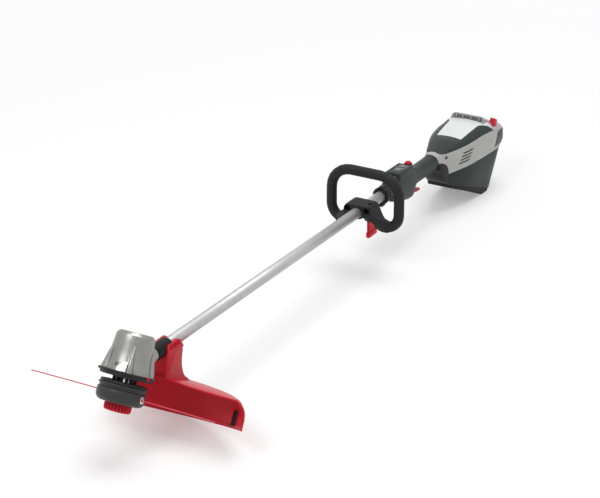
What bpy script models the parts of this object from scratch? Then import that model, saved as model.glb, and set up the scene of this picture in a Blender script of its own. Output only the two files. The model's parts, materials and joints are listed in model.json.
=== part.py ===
"""Cordless string trimmer: brushless motor head, line spool, guard, tube, loop handle and battery housing.

The world origin is the centre of the rear foot on the floor. +X runs along the tube towards the battery,
+Y to the user's right and +Z up. The tube slopes a little down to the rear, so that the trimmer rests on the
guard's rim and on the rear foot. Most pieces hang in the tube frame: its origin is where the head's axis
crosses the tube's axis, +X is the tube and +Z is up, square to it.
"""

import math

import bpy
import bmesh
from mathutils import Matrix, Vector

# Fits: still gaps, moving gaps, and the radial play of a turning shaft
GAP = 0.0003
RUN = 0.0006
PLAY = 0.00008

# How far the head leans back
HEAD_TILT = math.radians(30.0)

# Tube and sleeve
TUBE_RADIUS = 0.0125
TUBE_WALL = 0.0015
TUBE_FRONT = 0.078
TUBE_REAR = 1.150
SLEEVE_FRONT = 0.089
SLEEVE_REAR = 0.138
SLEEVE_RADIUS = 0.0163
SPIGOT_REAR = 0.114
SPIGOT_RADIUS = 0.0144

# Motor dome, heights along the head's axis
DOME_TOP = 0.0775
DOME_TOP_RADIUS = 0.0385
DOME_MID_RADIUS = 0.0415
DOME_BASE_RADIUS = 0.0500
DOME_WALL = 0.0032
FIN_COUNT = 5
FIN_TOP = 0.053
FIN_REACH = 0.0545
FIN_BASE_WIDTH = 0.018
FIN_TOP_WIDTH = 0.003

# Base plate, bearings and motor
PLATE_RADIUS = 0.0565
PLATE_TOP = -GAP
PLATE_THICKNESS = 0.0105
PLATE_EDGE = 0.0045
PLATE_STEP_RADIUS = 0.0525
BOSS_RADIUS = 0.0140
BOSS_TOP = 0.035
BEARING_RADIUS = 0.0109
BEARING_HEIGHT = 0.007
SPINDLE_RADIUS = 0.0040
SPINDLE_TOP = 0.044
SPINDLE_BOTTOM = -0.050
STATOR_RADIUS = 0.0270
STATOR_TEETH = 9
STATOR_LOW = 0.010
STATOR_HIGH = 0.030
BELL_RADIUS = 0.0315
BELL_WALL = 0.0035
BELL_LOW = 0.006
BELL_TOP = 0.040

# Cutting head
SPOOL_RADIUS = 0.0485
FLANGE_TOP = -0.0250
FLANGE_THICKNESS = 0.0105
FLANGE_EDGE = 0.0050
FLANGE_GROOVE = 0.0028
FAN_TABS = 9
FAN_HEIGHT = 0.0045
FAN_INNER = 0.034
FAN_OUTER = 0.0455
CUP_BOTTOM = -0.062
CUP_WALL = 0.0025
CUP_MOUTH = 0.0290
KNOB_RADIUS = 0.0272
KNOB_BOTTOM = -0.079
KNOB_TRAVEL = 0.004
KNOB_RIBS = 24
KNOB_GROOVE = 0.10
REEL_RADIUS = 0.0430
REEL_LOWER_RADIUS = 0.0355
REEL_HUB = 0.0200
REEL_BORE = 0.0100
REEL_FLANGE = 0.0020
SPRING_RADIUS = 0.0070
SPRING_WIRE = 0.0008
SPRING_TURNS = 5
EYELET_RADIUS = 0.0062
EYELET_BORE = 0.0021
LINE_HEIGHT = -0.045
LINE_DIAMETER = 0.0024
CUTTING_RADIUS = 0.214
LINE_SAG = 0.0015
LINE_POINTS = 28

# Guard, in degrees round the head's axis from straight behind, positive to the user's left
GUARD_WALL = 0.003
GUARD_RIGHT = -38.0
GUARD_LEFT = 63.2
GUARD_ROWS = [GUARD_RIGHT + 6.2 * step for step in range(16)] + [58.0, 60.4, 62.0, GUARD_LEFT]
GUARD_LINE_ROOM = 0.010
GUARD_TIP_ROOM = 0.027
GUARD_REAR_RADIUS = CUTTING_RADIUS + GUARD_LINE_ROOM
GUARD_TIP_RADIUS = CUTTING_RADIUS + GUARD_TIP_ROOM
GUARD_FRONT_REACH = 0.108
GUARD_CROWN = 0.0093
GUARD_TIP_DROP = 0.011
GUARD_DECK_PITCH = 0.05
GUARD_CORNER = 0.005
GUARD_TIP_CORNER = 0.028
GUARD_RIM = -0.063
GUARD_RIM_RISE = 0.008
NECK_HALF_WIDTH = 0.0195
NECK_FRONT = 0.1135
NECK_REAR = 0.170
NECK_TOP = 0.009
NECK_CHANNEL_END = 0.260
NECK_RIBS = 6
RIB_WIDTH = 0.0038
RIB_DEPTH = 0.003
WEB_DEPTH = 0.0030
BLADE_ANGLE = 46.0
BLADE_HEIGHT = 0.036
BLADE_WIDTH = 0.020
BLADE_THICKNESS = 0.0016
BLADE_TIP_GAP = 0.0025
BLADE_INNER = CUTTING_RADIUS + BLADE_TIP_GAP
BLADE_LEDGE = 0.006
BLADE_STAND_OFF = 0.0006

# Loop handle
LOOP_STATION = 0.960
LOOP_GRIP_RADIUS = 0.0125
LOOP_HALF_WIDTH = 0.0880
LOOP_TOP = 0.0855
LOOP_BOTTOM = -0.0385
SADDLE_FRONT = 0.919
SADDLE_REAR = 0.966
SADDLE_TOP = 0.0185
SADDLE_HALF_WIDTH = 0.034
POCKET_WIDTH = 0.015
POCKET_OFFSET = 0.0245
CLAMP_REAR = 1.006
CLAMP_WALL = 0.005
CLAMP_BOLT_OFFSET = 0.0205
CLAMP_BOLT_RADIUS = 0.0022
LEVER_STATION = 0.989
LEVER_WIDTH = 0.026
LEVER_PIVOT_DROP = 0.034
LEVER_BOTTOM = -0.084
LEVER_THICKNESS = 0.005
LEVER_FOOT_FRONT = 0.9745
LEVER_FOOT_REAR = 1.012
LEVER_PIN_RADIUS = 0.0025
LEVER_BARREL = 0.0050

# Switch handle
NOSE_FRONT = 1.034
SWITCH_FRONT = 1.068
GRIP_END = 1.305
GRIP_HALF_WIDTH = 0.0165
SWITCH_HALF_WIDTH = 0.0210
PANEL_FRONT = 1.110
PANEL_REAR = 1.158
PANEL_HALF_WIDTH = 0.0135
PANEL_THICKNESS = 0.0025
POWER_BUTTON_RADIUS = 0.0055
POWER_BUTTON_STATION = 1.146
POWER_BUTTON_TRAVEL = 0.0015
LOCK_BUTTON_STATION = 1.175
LOCK_BUTTON_RADIUS = 0.0080
LOCK_BUTTON_TRAVEL = 0.004
TRIGGER_PIVOT = (1.180, -0.031)
TRIGGER_HALF_WIDTH = 0.0065
TRIGGER_PIN_RADIUS = 0.0020
SWITCH_BLOCK_LOW = (1.1543, -0.009, -0.0135)
SWITCH_BLOCK_HIGH = (1.192, 0.009, 0.0140)
SHELL_WALL = 0.0028
CABLE_RADIUS = 0.003
CABLE_HEIGHT = -0.0077

# Battery housing
HOUSING_REAR = 1.600
COVER_SPLIT = 1.338
BAY_CORNER = (1.504, 0.058)
BAY_TILT = math.radians(27.0)
BATTERY_DEPTH = 0.076
BATTERY_HALF_WIDTH = 0.0455
BATTERY_HEIGHT = 0.157
CAP_HEIGHT = 0.030
BAY_CLEARANCE = 0.0008
BAND_THICKNESS = 0.0045
LATCH_LOW = (0.0285, -0.0595, -0.019)
LATCH_HIGH = (0.0500, -0.0474, 0.005)
LATCH_TRAVEL = 0.003
FOOT_HALF_LENGTH = 0.015
FOOT_HALF_WIDTH = 0.070
FOOT_SETBACK = 0.004
VENT_COUNT = 4
CASE_WALL = 0.003
CRADLE_WALL = 0.003
TOP_PANEL_THICKNESS = 0.0018
BUMPER_FRONT = 1.526
CASE_LEVEL = -0.034
TERMINAL_SETBACK = 0.0150
TERMINAL_ROOM = 0.0170
TERMINAL_HEIGHT = 0.050
FOOT_THICKNESS = 0.0065
FOOT_INSET = 0.0008
SKID_FRONT = 1.352
SKID_DEPTH = 0.010
SKID_REAR_DEPTH = 0.0155
SKID_WELL_FRONT = 1.376
SKID_WELL_HALF_WIDTH = 0.036

COLOURS = {
    "dark_green_plastic": ((0.055, 0.075, 0.075), 0.45, 0.0),
    "light_grey_plastic": ((0.38, 0.38, 0.37), 0.45, 0.0),
    "white_plastic": ((0.75, 0.76, 0.76), 0.35, 0.0),
    "red_plastic": ((0.60, 0.02, 0.04), 0.35, 0.0),
    "black_plastic": ((0.025, 0.025, 0.025), 0.50, 0.0),
    "black_rubber": ((0.030, 0.030, 0.030), 0.70, 0.0),
    "tube_aluminium": ((0.55, 0.55, 0.56), 0.35, 1.0),
    "cast_aluminium": ((0.50, 0.50, 0.49), 0.35, 1.0),
    "steel": ((0.45, 0.45, 0.46), 0.30, 1.0),
    "blade_steel": ((0.04, 0.04, 0.045), 0.40, 1.0),
    "grey_plastic": ((0.22, 0.22, 0.21), 0.45, 0.0),
    "copper_winding": ((0.45, 0.18, 0.08), 0.40, 1.0),
    "nylon_line": ((0.55, 0.02, 0.05), 0.35, 0.0),
    "circuit_board": ((0.03, 0.16, 0.08), 0.50, 0.0),
}

TURN = {
    "Z": Matrix.Identity(4),
    "X": Matrix.Rotation(math.pi / 2, 4, "Y"),
    "Y": Matrix.Rotation(-math.pi / 2, 4, "X"),
}

# A flat outline is drawn in one of these planes, its third direction being its thickness
PLANE = {
    "XZ": Matrix.Rotation(math.pi / 2, 4, "X"),
    "YZ": Matrix.Rotation(math.pi / 2, 4, "Z") @ Matrix.Rotation(math.pi / 2, 4, "X"),
    "XY": Matrix.Identity(4),
}


def clear_scene():
    for item in list(bpy.data.objects):
        bpy.data.objects.remove(item, do_unlink=True)


def make_collection(name):
    group = bpy.data.collections.new(name)
    bpy.context.scene.collection.children.link(group)
    return group


def make_materials():
    found = {}
    for name, (colour, roughness, metallic) in COLOURS.items():
        material = bpy.data.materials.new(name)
        material.use_nodes = True
        shader = material.node_tree.nodes["Principled BSDF"]
        shader.inputs["Base Color"].default_value = (*colour, 1.0)
        shader.inputs["Roughness"].default_value = roughness
        shader.inputs["Metallic"].default_value = metallic
        found[name] = material
    return found


clear_scene()
PARTS = make_collection("string_trimmer")
CUTTERS = make_collection("cutters")
MATERIALS = make_materials()


def frame_empty(name, parent, location, pitch):
    empty = bpy.data.objects.new(name, None)
    PARTS.objects.link(empty)
    empty.parent = parent
    empty.location = location
    empty.rotation_euler = (0.0, pitch, 0.0)
    return empty


def head_point(reach, height):
    """A point straight behind the head, from the head's frame to the tube's (station, height)."""
    return (reach * math.cos(HEAD_TILT) + height * math.sin(HEAD_TILT),
            height * math.cos(HEAD_TILT) - reach * math.sin(HEAD_TILT))


def bay_point(depth, height):
    """A point of the battery's bay, from the bay's frame to the tube's (station, height)."""
    return (BAY_CORNER[0] + depth * math.cos(BAY_TILT) + height * math.sin(BAY_TILT),
            BAY_CORNER[1] - depth * math.sin(BAY_TILT) + height * math.cos(BAY_TILT))


def guard_section(degrees):
    """The guard's cross-section at an angle round the head: (reach, height) points from deck to rim."""
    share = max(0.0, degrees / GUARD_LEFT)
    outer = GUARD_REAR_RADIUS + (GUARD_TIP_RADIUS - GUARD_REAR_RADIUS) * share ** 1.6
    crown = GUARD_CROWN - GUARD_TIP_DROP * share ** 1.4 + 0.0003 * min(degrees, 0.0)
    corner = GUARD_CORNER + (GUARD_TIP_CORNER - GUARD_CORNER) * share ** 3
    front = min(GUARD_FRONT_REACH / math.cos(math.radians(degrees)), outer - 0.012)
    bend = min(corner, outer - front - 0.001)
    reaches = [front] + [outer - bend * (1.0 - math.sin(math.radians(turn))) for turn in (0, 30, 60, 90)]
    points = []
    for reach in reaches:
        past = reach - (outer - corner)
        height = crown + GUARD_DECK_PITCH * past
        if past > 0.0:
            height = crown - 1.2 * corner * (1.0 - math.sqrt(max(0.0, 1.0 - (past / corner) ** 2)))
        points.append((reach, height))
    return points + [(outer, GUARD_RIM + GUARD_RIM_RISE * degrees / GUARD_LEFT)]


def lowest_rim():
    """The point of the guard's rim, in the tube's frame, that rests on the floor."""
    corners = []
    for degrees in GUARD_ROWS:
        reach, height = guard_section(degrees)[-1]
        corners.append(head_point((reach + GUARD_WALL / 2) * math.cos(math.radians(degrees)), height))
    return min(corners, key=lambda corner: corner[1])


# The case's bottom corners, the rear one under the battery and its terminals, and the middle of the foot
BOTTOM_FRONT = (1.344, -0.072)
BOTTOM_REAR = (bay_point(BATTERY_DEPTH, -BATTERY_HEIGHT)[0] + TERMINAL_SETBACK,
               bay_point(BATTERY_DEPTH, -BATTERY_HEIGHT)[1] - TERMINAL_ROOM)
FOOT_POINT = (BOTTOM_REAR[0] - FOOT_SETBACK - FOOT_HALF_LENGTH, BOTTOM_REAR[1] - FOOT_THICKNESS)
RIM_POINT = lowest_rim()

# The tube slopes so that the guard's rim and the rear foot both stand on the floor
TUBE_SLOPE = math.atan2(FOOT_POINT[1] - RIM_POINT[1], FOOT_POINT[0] - RIM_POINT[0])
AXIS_HEIGHT = RIM_POINT[0] * math.sin(TUBE_SLOPE) - RIM_POINT[1] * math.cos(TUBE_SLOPE)
AXIS_START = -FOOT_POINT[0] * math.cos(TUBE_SLOPE) - FOOT_POINT[1] * math.sin(TUBE_SLOPE)
TUBE = frame_empty("tube_frame", None, (AXIS_START, 0.0, AXIS_HEIGHT), TUBE_SLOPE)
HEAD = frame_empty("head_frame", TUBE, (0.0, 0.0, 0.0), HEAD_TILT)
BAY = frame_empty("bay_frame", TUBE, (BAY_CORNER[0], 0.0, BAY_CORNER[1]), BAY_TILT)


def place(name, mesh, material, frame=TUBE, location=(0.0, 0.0, 0.0), rotation=(0.0, 0.0, 0.0)):
    """Put a mesh in the scene: with a material it is a piece, and without one it is a cutter."""
    item = bpy.data.objects.new(name, mesh)
    if material is None:
        CUTTERS.objects.link(item)
        item.hide_render = True
        item.display_type = "WIRE"
    else:
        PARTS.objects.link(item)
        mesh.materials.append(MATERIALS[material])
    item.parent = frame
    item.location = location
    item.rotation_euler = rotation
    return item


def to_mesh(bm, name, smooth=True):
    bmesh.ops.recalc_face_normals(bm, faces=bm.faces)
    if bm.calc_volume(signed=True) < 0.0:
        bmesh.ops.reverse_faces(bm, faces=bm.faces)
    mesh = bpy.data.meshes.new(name)
    bm.to_mesh(mesh)
    bm.free()
    if smooth:
        mesh.shade_smooth()
        mesh.set_sharp_from_angle(angle=math.radians(35.0))
    return mesh


def cylinder(radius, low, high, along="Z", segments=32, top_radius=None):
    bm = bmesh.new()
    bmesh.ops.create_cone(
        bm, cap_ends=True, segments=segments, radius1=radius,
        radius2=radius if top_radius is None else top_radius, depth=high - low)
    bmesh.ops.translate(bm, verts=bm.verts, vec=(0.0, 0.0, (low + high) / 2))
    bm.transform(TURN[along])
    return to_mesh(bm, "cylinder")


def block(corner, opposite, round_edges=0.0):
    """A box between two opposite corners, its edges rounded if asked."""
    low = Vector([min(pair) for pair in zip(corner, opposite)])
    high = Vector([max(pair) for pair in zip(corner, opposite)])
    bm = bmesh.new()
    bmesh.ops.create_cube(bm, size=1.0)
    bmesh.ops.scale(bm, verts=bm.verts, vec=high - low)
    bmesh.ops.translate(bm, verts=bm.verts, vec=(low + high) / 2)
    if round_edges > 0.0:
        bmesh.ops.bevel(bm, geom=list(bm.edges), offset=round_edges, segments=2, profile=0.5, affect="EDGES")
    return to_mesh(bm, "block")


def plate(outlines, low, high, plane):
    """A flat outline, with any holes, as a 2D curve between two depths along the plane's third direction."""
    curve = bpy.data.curves.new("outline", "CURVE")
    curve.dimensions = "2D"
    curve.fill_mode = "BOTH"
    curve.extrude = (high - low) / 2
    for outline in outlines:
        spline = curve.splines.new("POLY")
        spline.points.add(len(outline) - 1)
        for point, (across, up) in zip(spline.points, outline):
            point.co = (across, up, 0.0, 1.0)
        spline.use_cyclic_u = True
    return curve_mesh(curve, PLANE[plane], (low + high) / 2, plane)


def curve_mesh(curve, turn, middle, plane):
    """Turn a curve into a welded mesh, stood up in its plane and moved to its depth."""
    holder = bpy.data.objects.new("outline", curve)
    CUTTERS.objects.link(holder)
    bpy.context.view_layer.update()
    solid = bpy.data.meshes.new_from_object(holder.evaluated_get(bpy.context.evaluated_depsgraph_get()))
    bpy.data.objects.remove(holder, do_unlink=True)
    bm = bmesh.new()
    bm.from_mesh(solid)
    bpy.data.meshes.remove(solid)
    bmesh.ops.remove_doubles(bm, verts=bm.verts, dist=0.00001)
    bm.transform(turn)
    shift = {"XZ": (0.0, middle, 0.0), "YZ": (middle, 0.0, 0.0), "XY": (0.0, 0.0, middle)}[plane]
    bmesh.ops.translate(bm, verts=bm.verts, vec=shift)
    return to_mesh(bm, "plate")


def swept(route, radius, roundness, closed=False):
    """A round bar along a route of points, with closed ends."""
    curve = bpy.data.curves.new("route", "CURVE")
    curve.dimensions = "3D"
    curve.bevel_depth = radius
    curve.bevel_resolution = roundness
    curve.use_fill_caps = True
    spline = curve.splines.new("POLY")
    spline.points.add(len(route) - 1)
    for point, spot in zip(spline.points, route):
        point.co = (*spot, 1.0)
    spline.use_cyclic_u = closed
    return curve_mesh(curve, TURN["Z"], 0.0, "XY")


def turned(name, profile, material, frame=TUBE, closed=True, steps=40, along="Z", location=(0.0, 0.0, 0.0)):
    """Spin a profile of (radius, height) points, run down its outer side, about the chosen direction."""
    mesh = bpy.data.meshes.new(name)
    edges = [(index, index + 1) for index in range(len(profile) - 1)]
    if closed:
        edges.append((len(profile) - 1, 0))
    mesh.from_pydata([(radius, 0.0, height) for radius, height in profile], edges, [])
    turn = {"Z": (0.0, 0.0, 0.0), "X": (0.0, math.pi / 2, 0.0), "Y": (-math.pi / 2, 0.0, 0.0)}[along]
    item = place(name, mesh, material, frame, location, turn)
    screw = item.modifiers.new("turn", "SCREW")
    screw.steps = steps
    screw.render_steps = steps
    screw.use_merge_vertices = True
    screw.merge_threshold = 0.00001
    screw.use_smooth_shade = True
    return item


def loft(rings):
    """Skin closed rings of equally many points, one after the other, and cap both ends."""
    bm = bmesh.new()
    rows = [[bm.verts.new(point) for point in ring] for ring in rings]
    count = len(rows[0])
    for near, far in zip(rows, rows[1:]):
        for index in range(count):
            following = (index + 1) % count
            bm.faces.new((near[index], near[following], far[following], far[index]))
    bm.faces.new(rows[0])
    bm.faces.new(rows[-1])
    return to_mesh(bm, "loft")


def carve(target, cutter, operation="DIFFERENCE"):
    modifier = target.modifiers.new(cutter.name, "BOOLEAN")
    modifier.operation = operation
    modifier.object = cutter
    modifier.use_self = True
    return target


def cutter(name, mesh, frame=TUBE, location=(0.0, 0.0, 0.0), rotation=(0.0, 0.0, 0.0)):
    return place(name, mesh, None, frame, location, rotation)


def arc(centre, radius, start, end, steps):
    """Points on an arc between two angles in degrees."""
    points = []
    for index in range(steps + 1):
        angle = math.radians(start + (end - start) * index / steps)
        points.append((centre[0] + radius * math.cos(angle), centre[1] + radius * math.sin(angle)))
    return points


def smoothed(points, steps=3):
    """An open line of points with a smooth curve run through them."""
    result = []
    for index in range(len(points) - 1):
        before = Vector(points[max(index - 1, 0)])
        start = Vector(points[index])
        finish = Vector(points[index + 1])
        after = Vector(points[min(index + 2, len(points) - 1)])
        for step in range(steps):
            share = step / steps
            spot = 2.0 * start + (finish - before) * share
            spot += (2.0 * before - 5.0 * start + 4.0 * finish - after) * share ** 2
            spot += (3.0 * start - before - 3.0 * finish + after) * share ** 3
            result.append(tuple(spot / 2.0))
    return result + [tuple(points[-1])]


def between(value, table):
    """Read a table of (position, value) pairs at a position, straight between its rows."""
    for (low, first), (high, second) in zip(table, table[1:]):
        if value <= high:
            share = max(0.0, (value - low) / (high - low))
            return first + (second - first) * share
    return table[-1][1]


def make_motor_dome():
    """Open-bottomed aluminium dome with flared fins and the neck that takes the tube."""
    inner = DOME_WALL
    outline = [
        (0.0, DOME_TOP), (DOME_TOP_RADIUS - 0.006, DOME_TOP), (DOME_TOP_RADIUS, DOME_TOP - 0.006),
        (DOME_TOP_RADIUS + 0.0012, DOME_TOP * 0.75), (DOME_MID_RADIUS, DOME_TOP * 0.5),
        (DOME_MID_RADIUS + 0.0025, DOME_TOP * 0.27), (DOME_BASE_RADIUS, 0.0), (DOME_BASE_RADIUS, -0.004),
        (DOME_BASE_RADIUS - inner, -0.004), (DOME_BASE_RADIUS - inner, 0.0),
        (DOME_MID_RADIUS + 0.0025 - inner, DOME_TOP * 0.27),
        (DOME_MID_RADIUS - inner, DOME_TOP * 0.5), (DOME_TOP_RADIUS - inner, DOME_TOP - 0.008),
        (0.0, DOME_TOP - inner),
    ]
    dome = turned("motor_dome", outline, "cast_aluminium", HEAD, closed=False, steps=44)
    for index in range(FIN_COUNT):
        angle = 2 * math.pi * (index + 0.5) / FIN_COUNT + math.pi
        levels = [
            (FIN_TOP, FIN_TOP_WIDTH, DOME_TOP_RADIUS - inner, DOME_MID_RADIUS - 0.001),
            (FIN_TOP / 2, FIN_BASE_WIDTH * 0.55, DOME_MID_RADIUS - inner / 2, FIN_REACH - 0.0065),
            (-0.002, FIN_BASE_WIDTH, DOME_BASE_RADIUS - inner / 2, FIN_REACH),
        ]
        rings = []
        for height, width, near, far in levels:
            rings.append([
                (near, -width / 2, height), (far, -width * 0.3, height),
                (far, width * 0.3, height), (near, width / 2, height)])
        fin = cutter("fin_%d" % index, loft(rings), HEAD, rotation=(0.0, 0.0, angle))
        carve(dome, fin, "UNION")
    neck_rows = [(0.040, 0.0190, -0.006), (0.066, 0.0170, -0.003), (SLEEVE_FRONT, SPIGOT_RADIUS, 0.0),
                 (SPIGOT_REAR, SPIGOT_RADIUS, 0.0)]
    rings = []
    for station, radius, drop in neck_rows:
        rings.append([
            (station, radius * math.cos(turn), drop + radius * math.sin(turn))
            for turn in [2 * math.pi * step / 28 for step in range(28)]])
    carve(dome, cutter("neck", loft(rings)), "UNION")
    hollow = cylinder(DOME_TOP_RADIUS - inner - 0.0005, -0.03, DOME_TOP - 0.0085, "Z", 44)
    carve(dome, cutter("dome_hollow", hollow, HEAD))
    carve(dome, cutter("tube_socket", cylinder(TUBE_RADIUS + GAP, TUBE_FRONT - GAP, 0.2, "X")))
    carve(dome, cutter("cable_way", cylinder(TUBE_RADIUS - 0.004, 0.020, 0.2, "X", 20)))
    carve(dome, cutter("dome_foot", cylinder(0.075, -0.06, 0.0), HEAD))
    return dome


def make_motor():
    """Base plate with its boss, the bearings, the stator, the rotor bell and the spindle."""
    bottom = PLATE_TOP - PLATE_THICKNESS
    seat = BEARING_RADIUS + PLAY
    lower = bottom + 0.003
    turned("base_plate", [
        (BOSS_RADIUS, BOSS_TOP), (BOSS_RADIUS, PLATE_TOP), (PLATE_RADIUS, PLATE_TOP),
        (PLATE_RADIUS, PLATE_TOP - PLATE_EDGE + 0.001), (PLATE_RADIUS - 0.001, PLATE_TOP - PLATE_EDGE),
        (PLATE_STEP_RADIUS, PLATE_TOP - PLATE_EDGE), (PLATE_STEP_RADIUS - 0.0015, bottom),
        (seat - 0.003, bottom), (seat - 0.003, lower), (seat, lower), (seat, BOSS_TOP)],
        "black_plastic", HEAD, steps=48)
    levels = {"lower_bearing": lower + GAP, "upper_bearing": BOSS_TOP - BEARING_HEIGHT - 0.001}
    for name, low in levels.items():
        high = low + BEARING_HEIGHT
        bore = SPINDLE_RADIUS + PLAY
        turned(name, [(BEARING_RADIUS, high), (BEARING_RADIUS, low), (bore, low), (bore, high)],
               "steel", HEAD, steps=24)
    teeth = []
    for index in range(STATOR_TEETH):
        for share, radius in ((0.0, 0.70), (0.22, 0.70), (0.22, 0.88), (0.08, 0.88), (0.08, 1.0),
                              (0.92, 1.0), (0.92, 0.88), (0.78, 0.88), (0.78, 0.70)):
            angle = 2 * math.pi * (index + share) / STATOR_TEETH
            reach = radius * STATOR_RADIUS
            teeth.append((reach * math.cos(angle), reach * math.sin(angle)))
    hole = arc((0.0, 0.0), BOSS_RADIUS + GAP, 0.0, 345.0, 23)
    place("stator", plate([teeth, hole], STATOR_LOW, STATOR_HIGH, "XY"), "copper_winding", HEAD)
    bore = SPINDLE_RADIUS + GAP
    turned("rotor_bell", [
        (BELL_RADIUS, BELL_TOP), (BELL_RADIUS, BELL_LOW), (BELL_RADIUS - BELL_WALL, BELL_LOW),
        (BELL_RADIUS - BELL_WALL, BELL_TOP - BELL_WALL), (bore, BELL_TOP - BELL_WALL), (bore, BELL_TOP)],
        "steel", HEAD, steps=32)
    turned("spindle", [(0.0, SPINDLE_TOP), (SPINDLE_RADIUS, SPINDLE_TOP), (SPINDLE_RADIUS, SPINDLE_BOTTOM),
                       (0.0, SPINDLE_BOTTOM)], "steel", HEAD, closed=False, steps=20)


def make_cutting_head():
    """Fan flange, cup, reel with its winding, eyelets, line ends, bump knob and its spring."""
    flange_low = FLANGE_TOP - FLANGE_THICKNESS
    bore = SPINDLE_RADIUS + GAP
    bm = bmesh.new()
    groove = SPOOL_RADIUS - FLANGE_GROOVE
    profile = [(bore, FLANGE_TOP), (FAN_INNER, FLANGE_TOP), (FAN_OUTER, FLANGE_TOP),
               (SPOOL_RADIUS, FLANGE_TOP - 0.0015), (SPOOL_RADIUS, FLANGE_TOP - FLANGE_EDGE),
               (groove, FLANGE_TOP - FLANGE_EDGE), (groove, flange_low), (bore, flange_low)]
    corners = [bm.verts.new((radius, 0.0, height)) for radius, height in profile]
    edges = [bm.edges.new((corners[i], corners[(i + 1) % len(corners)])) for i in range(len(corners))]
    bmesh.ops.spin(bm, geom=corners + edges, axis=(0, 0, 1), cent=(0, 0, 0), dvec=(0, 0, 0),
                   angle=2 * math.pi, steps=4 * FAN_TABS, use_merge=True)
    bmesh.ops.remove_doubles(bm, verts=bm.verts, dist=0.000001)
    bmesh.ops.recalc_face_normals(bm, faces=bm.faces)
    raised = []
    for face in bm.faces:
        centre = face.calc_center_median()
        radius = math.hypot(centre.x, centre.y)
        turn = math.atan2(centre.y, centre.x) / (2 * math.pi) * 4 * FAN_TABS
        on_top = abs(centre.z - FLANGE_TOP) < 0.0001 and FAN_INNER < radius < FAN_OUTER
        if on_top and math.floor(turn) % 4 < 3:
            raised.append(face)
    lifted = bmesh.ops.extrude_face_region(bm, geom=raised)["geom"]
    tips = [item for item in lifted if isinstance(item, bmesh.types.BMVert)]
    bmesh.ops.translate(bm, verts=tips, vec=(0.0, 0.0, FAN_HEIGHT))
    bmesh.ops.delete(bm, geom=raised, context="FACES")
    place("fan_flange", to_mesh(bm, "fan_flange"), "black_plastic", HEAD)

    top = flange_low - GAP
    wall = CUP_WALL
    cup = turned("spool_cup", [
        (SPOOL_RADIUS - 0.001, top), (SPOOL_RADIUS, top - 0.002), (SPOOL_RADIUS, CUP_BOTTOM + 0.010),
        (SPOOL_RADIUS - 0.004, CUP_BOTTOM + 0.003), (SPOOL_RADIUS - 0.010, CUP_BOTTOM),
        (CUP_MOUTH, CUP_BOTTOM),
        (CUP_MOUTH, CUP_BOTTOM + wall), (SPOOL_RADIUS - 0.011, CUP_BOTTOM + wall),
        (SPOOL_RADIUS - 0.0055, CUP_BOTTOM + wall + 0.0025), (SPOOL_RADIUS - wall, CUP_BOTTOM + 0.011),
        (SPOOL_RADIUS - wall, top)], "black_plastic", HEAD, steps=48)
    low = CUP_BOTTOM + wall + RUN
    high = top - KNOB_TRAVEL - RUN
    hub = REEL_HUB
    turned("line_reel", [
        (REEL_RADIUS, high), (REEL_RADIUS, high - REEL_FLANGE), (hub, high - REEL_FLANGE),
        (hub, low + REEL_FLANGE), (REEL_LOWER_RADIUS, low + REEL_FLANGE), (REEL_LOWER_RADIUS, low),
        (SPINDLE_RADIUS + RUN, low), (SPINDLE_RADIUS + RUN, low + REEL_FLANGE),
        (REEL_BORE, low + REEL_FLANGE), (REEL_BORE, high)], "black_plastic", HEAD, steps=40)
    turned("line_winding", [
        (REEL_RADIUS - 0.010, high - REEL_FLANGE - GAP), (REEL_RADIUS - 0.010, low + REEL_FLANGE + GAP),
        (hub + GAP, low + REEL_FLANGE + GAP), (hub + GAP, high - REEL_FLANGE - GAP)],
        "nylon_line", HEAD, steps=32)

    points = 4 * KNOB_RIBS
    levels = [
        (low - GAP, 0.93, 0.0), (CUP_BOTTOM - 0.001, 0.94, 0.0), (CUP_BOTTOM - 0.0020, 1.0, KNOB_GROOVE),
        (KNOB_BOTTOM + 0.004, 0.99, KNOB_GROOVE), (KNOB_BOTTOM + 0.0012, 0.90, 0.0),
        (KNOB_BOTTOM, 0.62, 0.0)]
    rings = []
    for height, share, groove in levels:
        ring = []
        for index in range(points):
            radius = KNOB_RADIUS * share * (1.0 - groove * (index % 4 // 2))
            angle = 2 * math.pi * index / points
            ring.append((radius * math.cos(angle), radius * math.sin(angle), height))
        rings.append(ring)
    place("bump_knob", loft(rings), "red_plastic", HEAD)

    make_spring("knob_spring", SPRING_RADIUS, low + REEL_FLANGE + GAP, flange_low - GAP - KNOB_TRAVEL, HEAD)

    for name, side in (("left", -1), ("right", 1)):
        seat = cylinder(EYELET_RADIUS + GAP, 0.040, 0.060, "Y", 20)
        hole = cutter("eyelet_seat_" + name, seat, HEAD, (0.0, 0.0, LINE_HEIGHT),
                      (0.0, 0.0, 0.0 if side > 0 else math.pi))
        carve(cup, hole)
        outer = SPOOL_RADIUS + 0.0015
        inner = SPOOL_RADIUS - wall - 0.0008
        eyelet = turned("eyelet_" + name, [(EYELET_RADIUS, outer), (EYELET_RADIUS, inner),
                                            (EYELET_BORE, inner), (EYELET_BORE, outer)],
                        "steel", HEAD, steps=20, along="Y", location=(0.0, 0.0, LINE_HEIGHT))
        if side < 0:
            eyelet.rotation_euler = (math.pi / 2, 0.0, 0.0)
        make_line("line_" + name, side, inner + 0.0015)


def make_line(name, side, start):
    """One end of the cutting line, straight out of its eyelet and sagging a little."""
    route = []
    for index in range(LINE_POINTS):
        share = index / (LINE_POINTS - 1)
        reach = start + (CUTTING_RADIUS - start) * share
        route.append((0.0, side * reach, LINE_HEIGHT - LINE_SAG * share * share))
    place(name, swept(route, LINE_DIAMETER / 2, 2), "nylon_line", HEAD)


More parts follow.
